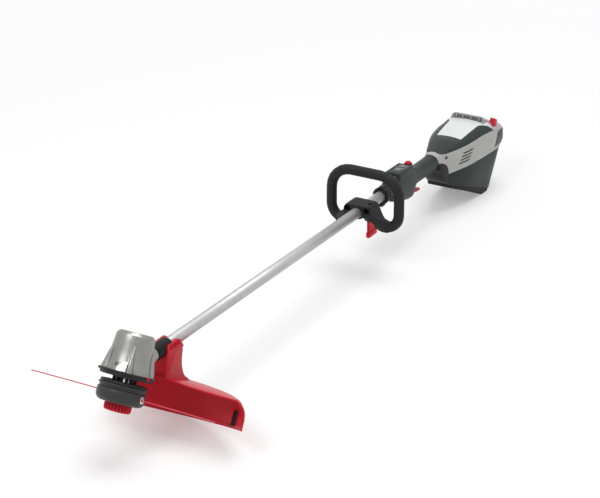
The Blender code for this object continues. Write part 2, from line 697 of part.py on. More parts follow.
def make_spring(name, radius, low, high, frame, turns=SPRING_TURNS, wire=SPRING_WIRE):
    """A compression spring standing between two seats."""
    steps = turns * 9
    route = []
    for index in range(steps + 1):
        angle = 2 * math.pi * index / 9
        height = low + wire + (high - low - 2 * wire) * index / steps
        route.append((radius * math.cos(angle), radius * math.sin(angle), height))
    place(name, swept(route, wire, 1), "steel", frame)


def make_guard():
    """Guard: a lofted deck and wall behind the head, and the ribbed neck that clamps round the tube."""
    bm = bmesh.new()
    rows = []
    for degrees in GUARD_ROWS:
        angle = math.radians(degrees)
        rows.append([
            bm.verts.new((reach * math.cos(angle), -reach * math.sin(angle), height))
            for reach, height in guard_section(degrees)])
    for near, far in zip(rows, rows[1:]):
        for index in range(len(near) - 1):
            bm.faces.new((near[index], near[index + 1], far[index + 1], far[index]))
    mesh = to_mesh(bm, "guard")
    guard = place("guard", mesh, "red_plastic", HEAD)
    shell = guard.modifiers.new("wall", "SOLIDIFY")
    shell.thickness = GUARD_WALL
    shell.offset = 0.0
    section = guard_section(0.0)
    low_front = head_point(section[0][0] + 0.006, section[0][1])
    low_rear = head_point(section[1][0] - 0.005, section[1][1])
    back = smoothed([
        (NECK_REAR - 0.016, NECK_TOP), (NECK_REAR - 0.0105, NECK_TOP - 0.004),
        (NECK_REAR, NECK_TOP - 0.0225),
        (NECK_REAR - 0.0030, NECK_TOP - 0.041), (NECK_REAR - 0.0050, NECK_TOP - 0.059),
        (NECK_REAR - 0.0020, NECK_TOP - 0.077), (NECK_REAR + 0.0060, NECK_TOP - 0.093), low_rear], 2)
    outline = [low_front, (NECK_FRONT - 0.009, NECK_TOP - 0.045), (NECK_FRONT, NECK_TOP - 0.005),
               (NECK_FRONT + 0.004, NECK_TOP)] + back
    neck = cutter("guard_neck", plate([outline], -NECK_HALF_WIDTH, NECK_HALF_WIDTH, "XZ"))
    carve(guard, neck, "UNION")
    web = smoothed([(0.140, -0.012), (0.133, -0.038), (0.126, -0.059)], 2)
    web += [(0.176, -0.084), (NECK_REAR + 0.020, -0.084), (NECK_REAR + 0.020, -0.012)]
    for side in (-1, 1):
        low, high = sorted((side * (NECK_HALF_WIDTH - WEB_DEPTH), side * (NECK_HALF_WIDTH + 0.010)))
        carve(guard, cutter("neck_web_%d" % side, plate([web], low, high, "XZ")))
    sleeve = cylinder(SLEEVE_RADIUS + GAP, 0.060, SLEEVE_REAR + GAP, "X", 36)
    carve(guard, cutter("sleeve_channel", sleeve))
    carve(guard, cutter("tube_channel", cylinder(TUBE_RADIUS + GAP, SLEEVE_REAR, NECK_CHANNEL_END, "X", 36)))
    pitch = (NECK_REAR - NECK_FRONT - 0.020) / NECK_RIBS
    for index in range(NECK_RIBS):
        station = NECK_FRONT + 0.006 + pitch * (index + 0.5)
        for side in (-1, 1):
            groove = block((station - RIB_WIDTH / 2, side * (NECK_HALF_WIDTH - RIB_DEPTH), NECK_TOP - 0.010),
                           (station + RIB_WIDTH / 2, side * (NECK_HALF_WIDTH + 0.003), NECK_TOP + 0.003))
            carve(guard, cutter("groove_%d_%d" % (index, side), groove))
    return guard


def make_cutter_blade():
    """Bent steel blade along the guard's inner wall that trims the line to length."""
    thick = BLADE_THICKNESS
    half = math.degrees(BLADE_WIDTH / 2 / GUARD_REAR_RADIUS)
    rings = []
    for step in range(5):
        degrees = BLADE_ANGLE - half + half * step / 2
        reach, rim = guard_section(degrees)[-1]
        wall = reach - GUARD_WALL / 2 - BLADE_STAND_OFF
        ledge = rim + BLADE_LEDGE
        section = [
            (wall, rim + BLADE_HEIGHT), (wall - thick, rim + BLADE_HEIGHT), (wall - thick, ledge + thick),
            (BLADE_INNER, ledge + thick), (BLADE_INNER, ledge), (wall, ledge)]
        angle = math.radians(degrees)
        rings.append([(across * math.cos(angle), -across * math.sin(angle), up) for across, up in section])
    place("cutter_blade", loft(rings), "blade_steel", HEAD)


def make_tube():
    """Main tube and the rubber sleeve over its joint with the motor neck."""
    inner = TUBE_RADIUS - TUBE_WALL
    turned("main_tube", [(TUBE_RADIUS, TUBE_REAR), (TUBE_RADIUS, TUBE_FRONT), (inner, TUBE_FRONT),
                         (inner, TUBE_REAR)], "tube_aluminium", along="X", steps=36)
    grip = TUBE_RADIUS + GAP
    over = SPIGOT_RADIUS + GAP
    turned("tube_sleeve", [
        (SLEEVE_RADIUS - 0.001, SLEEVE_REAR), (SLEEVE_RADIUS, SLEEVE_REAR - 0.001),
        (SLEEVE_RADIUS, SLEEVE_FRONT + 0.001), (SLEEVE_RADIUS - 0.001, SLEEVE_FRONT), (over, SLEEVE_FRONT),
        (over, SPIGOT_REAR + GAP), (grip, SPIGOT_REAR + GAP), (grip, SLEEVE_REAR)],
        "black_rubber", along="X", steps=36)


def loop_route():
    """Centre line of the loop grip, from its left end low down, over the top, to its right end."""
    half = LOOP_HALF_WIDTH
    corner = 0.050
    side_top = LOOP_TOP - corner
    lower = 0.034
    left = arc((-half + lower, LOOP_BOTTOM + lower), lower, 250.0, 180.0, 5)
    left += arc((-half + corner, side_top), corner, 180.0, 90.0, 6)
    right = [(-across, up) for across, up in reversed(left)]
    return left + right


def make_loop_handle():
    """Loop grip with its arms and the saddle that sits over the tube, in one moulding."""
    route = [(LOOP_STATION, across, up) for across, up in loop_route()]
    loop = cutter("loop_grip", swept(route, LOOP_GRIP_RADIUS, 3))
    arm = [(0.0, SADDLE_TOP - 0.003)]
    arm += smoothed([
        (0.024, SADDLE_TOP - 0.004), (0.0325, 0.0060), (0.0380, -0.0080), (0.0460, -0.0210),
        (0.0550, -0.0280), (0.0670, -0.0290)])
    arm += smoothed([
        (0.0715, -0.0450), (0.0560, -0.0485), (0.0410, -0.0455), (0.0300, -0.0370), (0.0235, -0.0240)])
    arm += [(0.0, -0.010)]
    arms = [(-across, up) for across, up in reversed(arm[1:-1])]
    outline = arm + arms
    handle = place("loop_handle", plate([outline], LOOP_STATION - 0.0118, LOOP_STATION + 0.0118, "YZ"),
                   "black_rubber")
    half = SADDLE_HALF_WIDTH
    saddle = [
        (-half + 0.009, SADDLE_TOP), (half - 0.009, SADDLE_TOP), (half - 0.003, SADDLE_TOP - 0.003),
        (half, SADDLE_TOP - 0.009), (half + 0.002, -0.004), (half + 0.004, -0.016), (half - 0.008, -0.016),
        (half - 0.010, -0.0085), (-half + 0.010, -0.0085), (-half + 0.008, -0.016), (-half - 0.004, -0.016),
        (-half - 0.002, -0.004), (-half, SADDLE_TOP - 0.009), (-half + 0.003, SADDLE_TOP - 0.003)]
    carve(handle, cutter("saddle", plate([saddle], SADDLE_FRONT, SADDLE_REAR, "YZ")), "UNION")
    carve(handle, loop, "UNION")
    bore = cylinder(TUBE_RADIUS + GAP, SADDLE_FRONT - 0.02, SADDLE_REAR + 0.02, "X", 36)
    carve(handle, cutter("saddle_bore", bore))
    below = block((SADDLE_FRONT - 0.02, -TUBE_RADIUS - GAP, -0.08),
                  (SADDLE_REAR + 0.02, TUBE_RADIUS + GAP, 0.0))
    carve(handle, cutter("saddle_mouth", below))
    room = block((SADDLE_FRONT - 0.02, -0.0275, -0.08), (SADDLE_REAR + 0.02, 0.0275, -0.0085))
    carve(handle, cutter("clamp_room", room))
    for side in (-1, 1):
        middle = side * POCKET_OFFSET
        size = POCKET_WIDTH / 2
        pocket = block((SADDLE_FRONT - 0.01, middle - size, 0.0020),
                       (SADDLE_FRONT + 0.006, middle + size, 0.0140))
        carve(handle, cutter("bolt_pocket_%d" % side, pocket))
        hole = cylinder(CLAMP_BOLT_RADIUS + GAP, -0.03, 0.0, "Z", 16)
        spot = (bolt_station(), side * CLAMP_BOLT_OFFSET, 0.0)
        carve(handle, cutter("bolt_hole_%d" % side, hole, location=spot))
    return handle


def bolt_station():
    return SADDLE_REAR - 0.012


def make_handle_clamp():
    """Lower clamp under the tube, its two bolts, and the red lever on its pin."""
    radius = TUBE_RADIUS + GAP
    outer = radius + CLAMP_WALL
    seat = -0.0088
    flange = 0.027
    low = seat - 0.0045
    outline = [(-flange, low), (-flange, seat), (-radius - 0.0006, seat)]
    outline += arc((0.0, 0.0), radius, 221.0, 319.0, 12)
    outline += [(radius + 0.0006, seat), (flange, seat), (flange, low), (outer * 0.80, low)]
    outline += arc((0.0, 0.0), outer, 315.0, 225.0, 10)
    outline += [(-outer * 0.80, low)]
    strap = plate([outline], SADDLE_FRONT + 0.006, SADDLE_REAR, "YZ")
    clamp = place("handle_clamp", strap, "black_plastic")
    tail_high = -radius * 0.80
    tail = block((SADDLE_REAR - 0.020, -0.007, -outer - 0.004), (CLAMP_REAR, 0.007, tail_high))
    carve(clamp, cutter("clamp_tail", tail), "UNION")
    drop = -LEVER_PIVOT_DROP
    half = LEVER_WIDTH / 2 + RUN
    for side in (-1, 1):
        near = LEVER_STATION + side * half
        far = LEVER_STATION + side * (half + 0.0035)
        ear = block((near, -0.007, drop - 0.006), (far, 0.007, -outer + 0.002))
        carve(clamp, cutter("lever_ear_%d" % side, ear), "UNION")
    carve(clamp, cutter("clamp_bore", cylinder(radius, SADDLE_FRONT - 0.02, 1.1, "X", 36)))
    room = cylinder(LEVER_BARREL + RUN, LEVER_STATION - half, LEVER_STATION + half, "X", 20)
    carve(clamp, cutter("barrel_room", room, location=(0.0, 0.0, drop)))
    pin_hole = cylinder(LEVER_PIN_RADIUS + GAP, LEVER_STATION - 0.03, LEVER_STATION + 0.03, "X", 16)
    carve(clamp, cutter("pin_hole", pin_hole, location=(0.0, 0.0, drop)))
    end = half + 0.0035
    pin = cylinder(LEVER_PIN_RADIUS, LEVER_STATION - end, LEVER_STATION + end, "X", 16)
    place("lever_pin", pin, "steel", location=(0.0, 0.0, drop))
    for name, side in (("left", -1), ("right", 1)):
        hole = cylinder(CLAMP_BOLT_RADIUS + GAP, -0.03, 0.0, "Z", 16)
        spot = (bolt_station(), side * CLAMP_BOLT_OFFSET, 0.0)
        carve(clamp, cutter("clamp_hole_" + name, hole, location=spot))
        turned("clamp_bolt_" + name, [
            (0.0, -0.0010), (CLAMP_BOLT_RADIUS, -0.0010), (CLAMP_BOLT_RADIUS, low - GAP),
            (CLAMP_BOLT_RADIUS * 2, low - GAP), (CLAMP_BOLT_RADIUS * 2, low - 0.0035), (0.0, low - 0.0035)],
            "steel", closed=False, steps=16, location=spot)

    length = -LEVER_BOTTOM - LEVER_PIVOT_DROP
    thick = LEVER_THICKNESS
    outline = arc((0.0, 0.0), LEVER_BARREL, -20.0, 200.0, 10)
    outline += [(-thick * 0.60, -0.012), (-thick * 0.45, -length * 0.84), (thick * 0.45, -length * 0.84),
                (thick * 0.60, -0.012)]
    lever = place("clamp_lever", plate([outline], -LEVER_WIDTH / 2, LEVER_WIDTH / 2, "YZ"), "red_plastic",
                  location=(LEVER_STATION, 0.0, drop))
    half = LEVER_WIDTH / 2 - 0.001
    front, rear = LEVER_FOOT_FRONT - LEVER_STATION, LEVER_FOOT_REAR - LEVER_STATION
    levels = [
        (-length * 0.45, -half, half, -0.0015, 0.0015),
        (-length * 0.71, front, rear - 0.003, -0.0020, 0.0020),
        (-length * 0.74, front, rear, -0.0050, 0.0040),
        (-length * 0.96, front, rear, -0.0050, 0.0040),
        (-length, front + 0.001, rear - 0.001, -0.0035, 0.0025)]
    rings = [[(near, left, up), (far, left, up), (far, right, up), (near, right, up)]
             for up, near, far, left, right in levels]
    carve(lever, cutter("lever_foot", loft(rings), location=(LEVER_STATION, 0.0, drop)), "UNION")
    bore = cylinder(LEVER_PIN_RADIUS + PLAY, -0.03, 0.03, "X", 16)
    carve(lever, cutter("lever_bore", bore, location=(LEVER_STATION, 0.0, drop)))


# Rows of the switch handle: station, half width, top and bottom
HANDLE_ROWS = [
    (SWITCH_FRONT, 0.0185, 0.0190, -0.0230),
    (SWITCH_FRONT + 0.012, 0.0198, 0.0265, -0.0290),
    (SWITCH_FRONT + 0.030, SWITCH_HALF_WIDTH - 0.0003, 0.0350, -0.0350),
    (SWITCH_FRONT + 0.060, SWITCH_HALF_WIDTH, 0.0375, -0.0430),
    (SWITCH_FRONT + 0.088, SWITCH_HALF_WIDTH, 0.0385, -0.0490),
    (SWITCH_FRONT + 0.106, SWITCH_HALF_WIDTH - 0.0005, 0.0335, -0.0500),
    (SWITCH_FRONT + 0.118, 0.0185, 0.0240, -0.0380),
    (SWITCH_FRONT + 0.132, GRIP_HALF_WIDTH, 0.0185, -0.0275),
    (SWITCH_FRONT + 0.160, GRIP_HALF_WIDTH, 0.0170, -0.0270),
    (GRIP_END - 0.045, GRIP_HALF_WIDTH, 0.0170, -0.0280),
    (GRIP_END - 0.012, GRIP_HALF_WIDTH + 0.001, 0.0180, -0.0290),
    (GRIP_END, GRIP_HALF_WIDTH + 0.002, 0.0190, -0.0300),
]


def handle_ring(station, half_width, top, bottom, wall=0.0, count=24):
    """A rounded-square ring; the switch body is squarer than the grip."""
    half_width = half_width - wall
    top = top - wall
    bottom = bottom + wall
    power = 2.0 / (3.4 if station < SWITCH_FRONT + 0.110 and station > SWITCH_FRONT + 0.005 else 2.4)
    ring = []
    for index in range(count):
        angle = 2 * math.pi * (index + 0.5) / count
        across = math.copysign(abs(math.cos(angle)) ** power, math.cos(angle)) * half_width
        up = math.copysign(abs(math.sin(angle)) ** power, math.sin(angle))
        ring.append((station, across, up * (top if up > 0 else -bottom)))
    return ring


def make_handle_shells():
    """The two moulded halves of the switch handle and grip, split down the middle."""
    rings = [handle_ring(*row) for row in HANDLE_ROWS]
    low_cut = -0.012
    top_level = between(PANEL_FRONT, [(row[0], row[2]) for row in HANDLE_ROWS])
    for name, side in (("left", -1), ("right", 1)):
        shell = place("handle_shell_" + name, loft(rings), "dark_green_plastic")
        half = block((1.0, side * GAP / 2, -0.1), (1.4, side * 0.05, 0.1))
        carve(shell, cutter("half_" + name, half), "INTERSECT")
        carve(shell, cutter("tube_seat_" + name, cylinder(TUBE_RADIUS + GAP, 1.0, TUBE_REAR + GAP, "X", 32)))
        way = block((TUBE_REAR - 0.01, -0.008, -0.0112), (GRIP_END + 0.01, 0.008, 0.006))
        carve(shell, cutter("wire_way_" + name, way))
        inner_rings = [handle_ring(*row, wall=SHELL_WALL) for row in HANDLE_ROWS]
        inside = cutter("shell_inside_" + name, loft(inner_rings))
        reach = block((TUBE_REAR + 0.004, -0.05, -0.1), (GRIP_END - 0.006, 0.05, 0.1))
        carve(inside, cutter("shell_reach_" + name, reach), "INTERSECT")
        carve(shell, inside)
        slot = trigger_slot()
        carve(shell, cutter("trigger_slot_" + name, slot))
        pin = cylinder(TRIGGER_PIN_RADIUS + GAP, -0.0165, 0.0165, "Y", 16)
        pivot = (TRIGGER_PIVOT[0], 0.0, TRIGGER_PIVOT[1])
        carve(shell, cutter("trigger_pin_hole_" + name, pin, location=pivot))
        recess = block((PANEL_FRONT - GAP, -PANEL_HALF_WIDTH - GAP, top_level - 0.0020),
                       (PANEL_REAR + GAP, PANEL_HALF_WIDTH + GAP, 0.060))
        carve(shell, cutter("panel_recess_" + name, recess))
        well = cylinder(LOCK_BUTTON_RADIUS + RUN, lock_floor(), 0.060, "Z", 24)
        carve(shell, cutter("lock_well_" + name, well, location=(LOCK_BUTTON_STATION, 0.0, 0.0)))
        under = cylinder(POWER_BUTTON_RADIUS + RUN, top_level - 0.010, 0.060, "Z", 20)
        carve(shell, cutter("power_well_" + name, under, location=(POWER_BUTTON_STATION, 0.0, 0.0)))
    return low_cut


def lock_floor():
    return TUBE_RADIUS + 0.0030


def trigger_slot():
    half = TRIGGER_HALF_WIDTH + RUN
    return block((TRIGGER_PIVOT[0] - 0.010, -half, -0.070), (TRIGGER_PIVOT[0] + 0.062, half, -0.0165))


def make_controls():
    """Display panel, buttons, trigger with its pin and spring, switch block, cable and nose ring."""
    top = between(PANEL_FRONT, [(row[0], row[2]) for row in HANDLE_ROWS])
    low = top - 0.0020 + GAP
    plaque = block((PANEL_FRONT, -PANEL_HALF_WIDTH, low),
                   (PANEL_REAR, PANEL_HALF_WIDTH, low + PANEL_THICKNESS + 0.0015), 0.001)
    panel = place("display_panel", plaque, "grey_plastic")
    hole = cylinder(POWER_BUTTON_RADIUS + RUN, 0.0, 0.08, "Z", 20)
    carve(panel, cutter("panel_hole", hole, location=(POWER_BUTTON_STATION, 0.0, 0.0)))
    floor = top - 0.010 + GAP
    face = low + PANEL_THICKNESS + 0.0015
    button = face + POWER_BUTTON_TRAVEL + 0.0003
    turned("power_button", [
        (0.0, button), (POWER_BUTTON_RADIUS - 0.0008, button), (POWER_BUTTON_RADIUS, button - 0.0008),
        (POWER_BUTTON_RADIUS, floor + POWER_BUTTON_TRAVEL), (0.0, floor + POWER_BUTTON_TRAVEL)],
        "grey_plastic", closed=False, steps=20, location=(POWER_BUTTON_STATION, 0.0, 0.0))
    base = lock_floor() + LOCK_BUTTON_TRAVEL + GAP
    dome = [(0.0, 0.0425)]
    for index in range(1, 6):
        angle = math.radians(90.0 - 18.0 * index)
        dome.append((LOCK_BUTTON_RADIUS * math.cos(angle), 0.0365 + 0.006 * math.sin(angle)))
    dome += [(LOCK_BUTTON_RADIUS, base), (0.0, base)]
    turned("lock_off_button", dome, "red_plastic", closed=False, steps=24,
           location=(LOCK_BUTTON_STATION, 0.0, 0.0))

    half = TRIGGER_HALF_WIDTH
    outline = arc((0.0, 0.0), 0.0055, 60.0, 200.0, 7)
    outline += [(0.001, -0.0085), (0.014, -0.0140), (0.030, -0.0172), (0.043, -0.0182), (0.0475, -0.0168),
                (0.0490, -0.0140), (0.0465, -0.0122), (0.034, -0.0105), (0.020, -0.0050), (0.010, 0.0035)]
    trigger = place("trigger", plate([outline], -half, half, "XZ"), "red_plastic",
                    location=(TRIGGER_PIVOT[0], 0.0, TRIGGER_PIVOT[1]))
    bore = cylinder(TRIGGER_PIN_RADIUS + PLAY, -0.02, 0.02, "Y", 16)
    carve(trigger, cutter("trigger_bore", bore, location=(TRIGGER_PIVOT[0], 0.0, TRIGGER_PIVOT[1])))
    pivot = (TRIGGER_PIVOT[0], 0.0, TRIGGER_PIVOT[1])
    place("trigger_pin", cylinder(TRIGGER_PIN_RADIUS, -0.016, 0.016, "Y", 16), "steel", location=pivot)
    route = []
    for index in range(2 * 10 + 1):
        angle = 2 * math.pi * index / 10
        across = half + RUN + 0.0006 + 0.0024 * index / 20
        route.append((0.0030 * math.cos(angle), across, 0.0030 * math.sin(angle)))
    place("trigger_spring", swept(route, 0.0004, 1), "steel", location=pivot)
    switch = place("switch_block", block(SWITCH_BLOCK_LOW, SWITCH_BLOCK_HIGH, 0.001), "black_plastic")
    route = [(TUBE_FRONT + 0.0015, 0.0, CABLE_HEIGHT), (SWITCH_BLOCK_LOW[0] - GAP, 0.0, CABLE_HEIGHT)]
    place("motor_cable", swept(route, CABLE_RADIUS, 3), "black_rubber")

    bore = TUBE_RADIUS + GAP
    rings = []
    for station, size, power in ((NOSE_FRONT, bore + 0.0024, 1.0), (NOSE_FRONT + 0.004, 0.0178, 0.9),
                                 (NOSE_FRONT + 0.009, 0.0190, 0.8), (NOSE_FRONT + 0.014, 0.0190, 0.8),
                                 (SWITCH_FRONT - GAP, 0.0185, 0.9)):
        ring = []
        for index in range(32):
            angle = 2 * math.pi * (index + 0.5) / 32
            across = math.copysign(abs(math.cos(angle)) ** power, math.cos(angle)) * size
            up = math.copysign(abs(math.sin(angle)) ** power, math.sin(angle)) * size
            ring.append((station, across, up))
        rings.append(ring)
    nose = place("nose_ring", loft(rings), "black_plastic")
    carve(nose, cutter("nose_bore", cylinder(bore, NOSE_FRONT - 0.01, SWITCH_FRONT + 0.01, "X", 36)))


# Rows of the battery housing: station, half width of the top panel, top, half width of the side and its
# upper corner's height
HOUSING_ROWS = [
    (GRIP_END + GAP, 0.010, 0.0200, 0.0195, 0.010),
    (1.318, 0.014, 0.0225, 0.0240, 0.014),
    (1.338, 0.022, 0.0260, 0.0310, 0.0165),
    (1.366, 0.030, 0.0305, 0.0420, 0.0180),
    (1.394, 0.035, 0.0350, 0.0520, 0.0205),
    (1.424, 0.038, 0.0395, 0.0585, 0.0235),
    (1.460, 0.041, 0.0440, 0.0620, 0.0260),
    (1.504, 0.045, 0.0480, 0.0645, 0.0255),
    (1.540, 0.047, 0.0420, 0.0655, 0.0205),
    (1.600, 0.047, 0.0200, 0.0650, 0.0060),
]
HOUSING_FLOOR = -0.200


def housing_ring(station, panel, top, side, shoulder, shrink=0.0):
    """Cross-section of the housing: crowned top, sloping shoulder, nearly upright side, tucked-in bottom."""
    side = side - shrink
    top = top - shrink
    shoulder = shoulder - shrink * 0.5
    panel = min(panel, side - 0.006)
    right = [
        (0.0, top), (panel * 0.55, top - 0.0010), (panel, top - 0.0035),
        ((panel + side) / 2, (top + shoulder) / 2),
        (side, shoulder), (side + 0.0012, shoulder - 0.022), (side, shoulder - 0.050),
        (side * 0.93, shoulder - 0.110), (side * 0.82, HOUSING_FLOOR)]
    left = [(-across, up) for across, up in reversed(right[1:])]
    return [(station, across, up) for across, up in right + left]


def housing_form(shrink=0.0):
    return loft([housing_ring(*row, shrink=shrink) for row in HOUSING_ROWS])


# Side view of the battery housing, as (station, height) points
REAR_LOW = (1.553, CASE_LEVEL)
REAR_HIGH = (1.572, -0.015)
SIDE_OUTLINE = [
    (GRIP_END + GAP, 0.070), (GRIP_END + GAP, -0.024), (1.314, -0.034), (1.322, -0.056),
    BOTTOM_FRONT, BOTTOM_REAR,
    REAR_LOW, REAR_HIGH, (1.573, 0.012), (1.566, 0.070)]
UPPER_PARTING = [
    (1.290, 0.0300), (1.3080, 0.0300), (1.3110, 0.0163), (1.322, 0.0150), (1.338, 0.0156), (1.366, 0.0178),
    (1.394, 0.0208), (1.424, 0.0240), (1.460, 0.0265), (1.504, 0.0250), (1.540, 0.0180), (1.620, 0.0020)]
LOWER_PARTING = [
    (1.338, -0.041), (1.380, -0.037), (1.440, CASE_LEVEL), (1.500, CASE_LEVEL), (1.620, CASE_LEVEL)]
BAND_FRONT = [
    (1.290, -0.004), (1.312, -0.006), (1.323, -0.011), (1.331, -0.019), (1.3355, -0.030), (1.338, -0.041)]
PANEL_PLAN = [
    (1.394, 0.033), (1.424, 0.0355), (1.460, 0.038), (1.482, 0.0395), (1.492, 0.0460), (1.504, 0.0460)]
BUMPER_SIDE = [(BUMPER_FRONT, -0.0250), (1.620, -0.0200), (1.620, 0.0150), (1.573, 0.0150), (1.541, 0.0115)]
CASE_HULL = [(1.300, 0.020), (1.300, -0.024), BOTTOM_FRONT, BOTTOM_REAR, REAR_LOW, (1.572, 0.020)]


def shifted(points, amount):
    return [(across, up + amount) for across, up in points]


def inset(outline, amount):
    """An outline, run anticlockwise, with every side moved inwards by an amount."""
    result = []
    count = len(outline)
    for index in range(count):
        before = Vector(outline[index - 1])
        here = Vector(outline[index])
        after = Vector(outline[(index + 1) % count])
        first = (here - before).normalized()
        second = (after - here).normalized()
        normal = (Vector((-first.y, first.x)) + Vector((-second.y, second.x)))
        scale = amount * 2.0 / max(normal.length_squared, 0.5)
        result.append(tuple(here + normal * scale))
    return result


def region(kind):
    """Side-view outlines of the housing's layers, each standing off the parting lines by half a gap."""
    half = GAP / 2
    if kind == "top":
        return shifted(UPPER_PARTING, half) + [(1.620, 0.100), (1.290, 0.100)]
    if kind == "band":
        return shifted(UPPER_PARTING, -half) + list(reversed(shifted(LOWER_PARTING, half))) \
            + list(reversed(shifted(BAND_FRONT, half)))[1:]
    split = COVER_SPLIT + half
    if kind == "low":
        return [(split, LOWER_PARTING[0][1] - half)] + shifted(LOWER_PARTING, -half)[1:] \
            + [(1.620, -0.220), (split, -0.220)]
    nose = [(min(station, COVER_SPLIT - half), up) for station, up in shifted(BAND_FRONT, -half)]
    return nose + [(COVER_SPLIT - half, -0.220), (1.290, -0.220)]


def housing_piece(name, kind, material, shrink=0.0):
    """One layer of the housing: the whole form, cut to the side view and to its layer."""
    piece = place(name, housing_form(shrink), material)
    carve(piece, cutter(name + "_side_view", plate([SIDE_OUTLINE], -0.1, 0.1, "XZ")), "INTERSECT")
    carve(piece, cutter(name + "_layer", plate([region(kind)], -0.11, 0.11, "XZ")), "INTERSECT")
    return piece


def inner_form(name, outline, wall=CASE_WALL):
    """The space inside the housing's walls, within an outline of the side view."""
    form = cutter(name, housing_form(wall))
    carve(form, cutter(name + "_reach", plate([outline], -0.1, 0.1, "XZ")), "INTERSECT")
    return form


def bay_block(name, margin, top=0.080):
    """The battery's slanted bay as a block, with a margin all round."""
    half = BATTERY_HALF_WIDTH
    return cutter(name, block((-margin, -half - margin, -BATTERY_HEIGHT - margin),
                              (BATTERY_DEPTH + margin, half + margin, top)), BAY)


def make_housing():
    """Top cover, lower case, front cover, side bands, cradle and rear bumper of the battery housing."""
    clear = BAY_CLEARANCE
    top = housing_piece("top_cover", "top", "dark_green_plastic")
    roof = [(1.312, -0.010), (1.500, -0.010), (1.500, 0.060), (1.312, 0.060)]
    carve(top, inner_form("top_inside", roof))
    carve(top, bay_block("bay_top", clear))
    make_top_panel(top)
    well_low = [LATCH_LOW[0] - RUN, LATCH_LOW[1] - RUN, LATCH_LOW[2] - LATCH_TRAVEL - RUN]
    well = block(well_low, (LATCH_HIGH[0] + RUN, LATCH_HIGH[1] + RUN, 0.060))
    carve(top, cutter("latch_well", well, BAY))
    low = housing_piece("lower_case", "low", "dark_green_plastic")
    inside = inset(CASE_HULL, CASE_WALL)
    front = COVER_SPLIT + CASE_WALL
    inside = [(max(station, front), up) for station, up in inside]
    inside[1] = (front, BOTTOM_FRONT[1] + CASE_WALL + 0.001)
    del inside[2]
    carve(low, inner_form("case_inside", inside))
    housing_piece("front_cover", "front", "black_plastic")
    make_cradle(clear)
    for name, side in (("left", -1), ("right", 1)):
        band = housing_piece("side_band_" + name, "band", "light_grey_plastic")
        keep = block((1.25, side * GAP / 2, -0.1), (1.7, side * 0.1, 0.1))
        carve(band, cutter("band_half_" + name, keep), "INTERSECT")
        core = cutter("band_core_" + name, housing_form(BAND_THICKNESS))
        window = block((COVER_SPLIT + 0.010 - GAP, -0.09, -0.09), (1.62, 0.09, 0.09))
        carve(core, cutter("core_window_" + name, window), "INTERSECT")
        carve(band, core)
        carve(band, cutter("bumper_room_" + name, plate([inset(BUMPER_SIDE, -GAP)], -0.1, 0.1, "XZ")))
        for index in range(VENT_COUNT):
            make_vent(band, name, side, index)
    bumper = housing_piece("rear_bumper", "band", "grey_plastic")
    carve(bumper, cutter("bumper_keep", block((BUMPER_FRONT, -0.1, -0.1), (1.7, 0.1, 0.1))), "INTERSECT")
    wall = 0.0055
    inside = [(1.500, -0.060), (REAR_LOW[0] - wall - 0.003, -0.060), (REAR_HIGH[0] - wall, REAR_HIGH[1]),
              (REAR_HIGH[0] - wall + 0.001, 0.0120), (1.561, 0.050), (1.500, 0.050)]
    carve(bumper, inner_form("bumper_inside", inside, BAND_THICKNESS))
    carve(bumper, bay_block("bay_bumper", clear))
    strips = cutter("bumper_strips", housing_form(-0.004))
    carve(strips, cutter("strips_core", housing_form(BAND_THICKNESS + GAP)))
    carve(strips, cutter("strips_panel", plate([BUMPER_SIDE], -0.1, 0.1, "XZ")))
    carve(bumper, strips)


def make_top_panel(top):
    """White inlay in the top cover, in front of the battery."""
    front, rear = PANEL_PLAN[0][0], PANEL_PLAN[-1][0] - 0.0035
    outline = [(min(station, rear), half) for station, half in PANEL_PLAN]
    outline += [(station, -half) for station, half in reversed(outline)]
    grown = [(front - GAP, PANEL_PLAN[0][1] + GAP)]
    for station, half in PANEL_PLAN[1:]:
        grown.append((min(station, rear) + (GAP if station > rear else 0.0), half + GAP))
    grown += [(station, -half) for station, half in reversed(grown)]
    recess = cutter("panel_bed", plate([grown], 0.0, 0.080, "XY"))
    carve(recess, cutter("panel_bed_floor", housing_form(TOP_PANEL_THICKNESS + GAP)))
    carve(top, recess)
    panel = place("top_panel", housing_form(), "white_plastic")
    carve(panel, cutter("panel_outline", plate([outline], 0.0, 0.080, "XY")), "INTERSECT")
    carve(panel, cutter("panel_underside", housing_form(TOP_PANEL_THICKNESS)))
    carve(panel, bay_block("bay_panel", BAY_CLEARANCE + GAP))


def make_cradle(clear):
    """Open box round the battery on a floor between the side bands."""
    cradle = housing_piece("battery_cradle", "band", "black_plastic", BAND_THICKNESS + GAP)
    keep = block((COVER_SPLIT + 0.010, -0.1, -0.1), (BUMPER_FRONT - 2 * GAP, 0.1, 0.1))
    carve(cradle, cutter("cradle_keep", keep), "INTERSECT")
    floor = CASE_LEVEL + CRADLE_WALL
    room = cutter("cradle_room", block((1.30, -0.1, floor), (1.62, 0.1, 0.1)))
    carve(room, bay_block("cradle_walls", clear + CRADLE_WALL))
    carve(cradle, room)
    carve(cradle, bay_block("bay_cradle", clear))


def make_vent(band, name, side, index):
    """One slanted cooling slot through a side band."""
    height = 0.0039 - 0.0082 * index
    middle = 1.399 - 0.0042 * index
    half_length = 0.0185
    lean = 0.0016
    outline = [
        (middle - half_length, height - lean - 0.0021), (middle + half_length, height + lean - 0.0021),
        (middle + half_length, height + lean + 0.0021), (middle - half_length, height - lean + 0.0021)]
    vent = plate([outline], side * 0.0525 - 0.0225, side * 0.0525 + 0.0225, "XZ")
    carve(band, cutter("vent_%s_%d" % (name, index), vent))


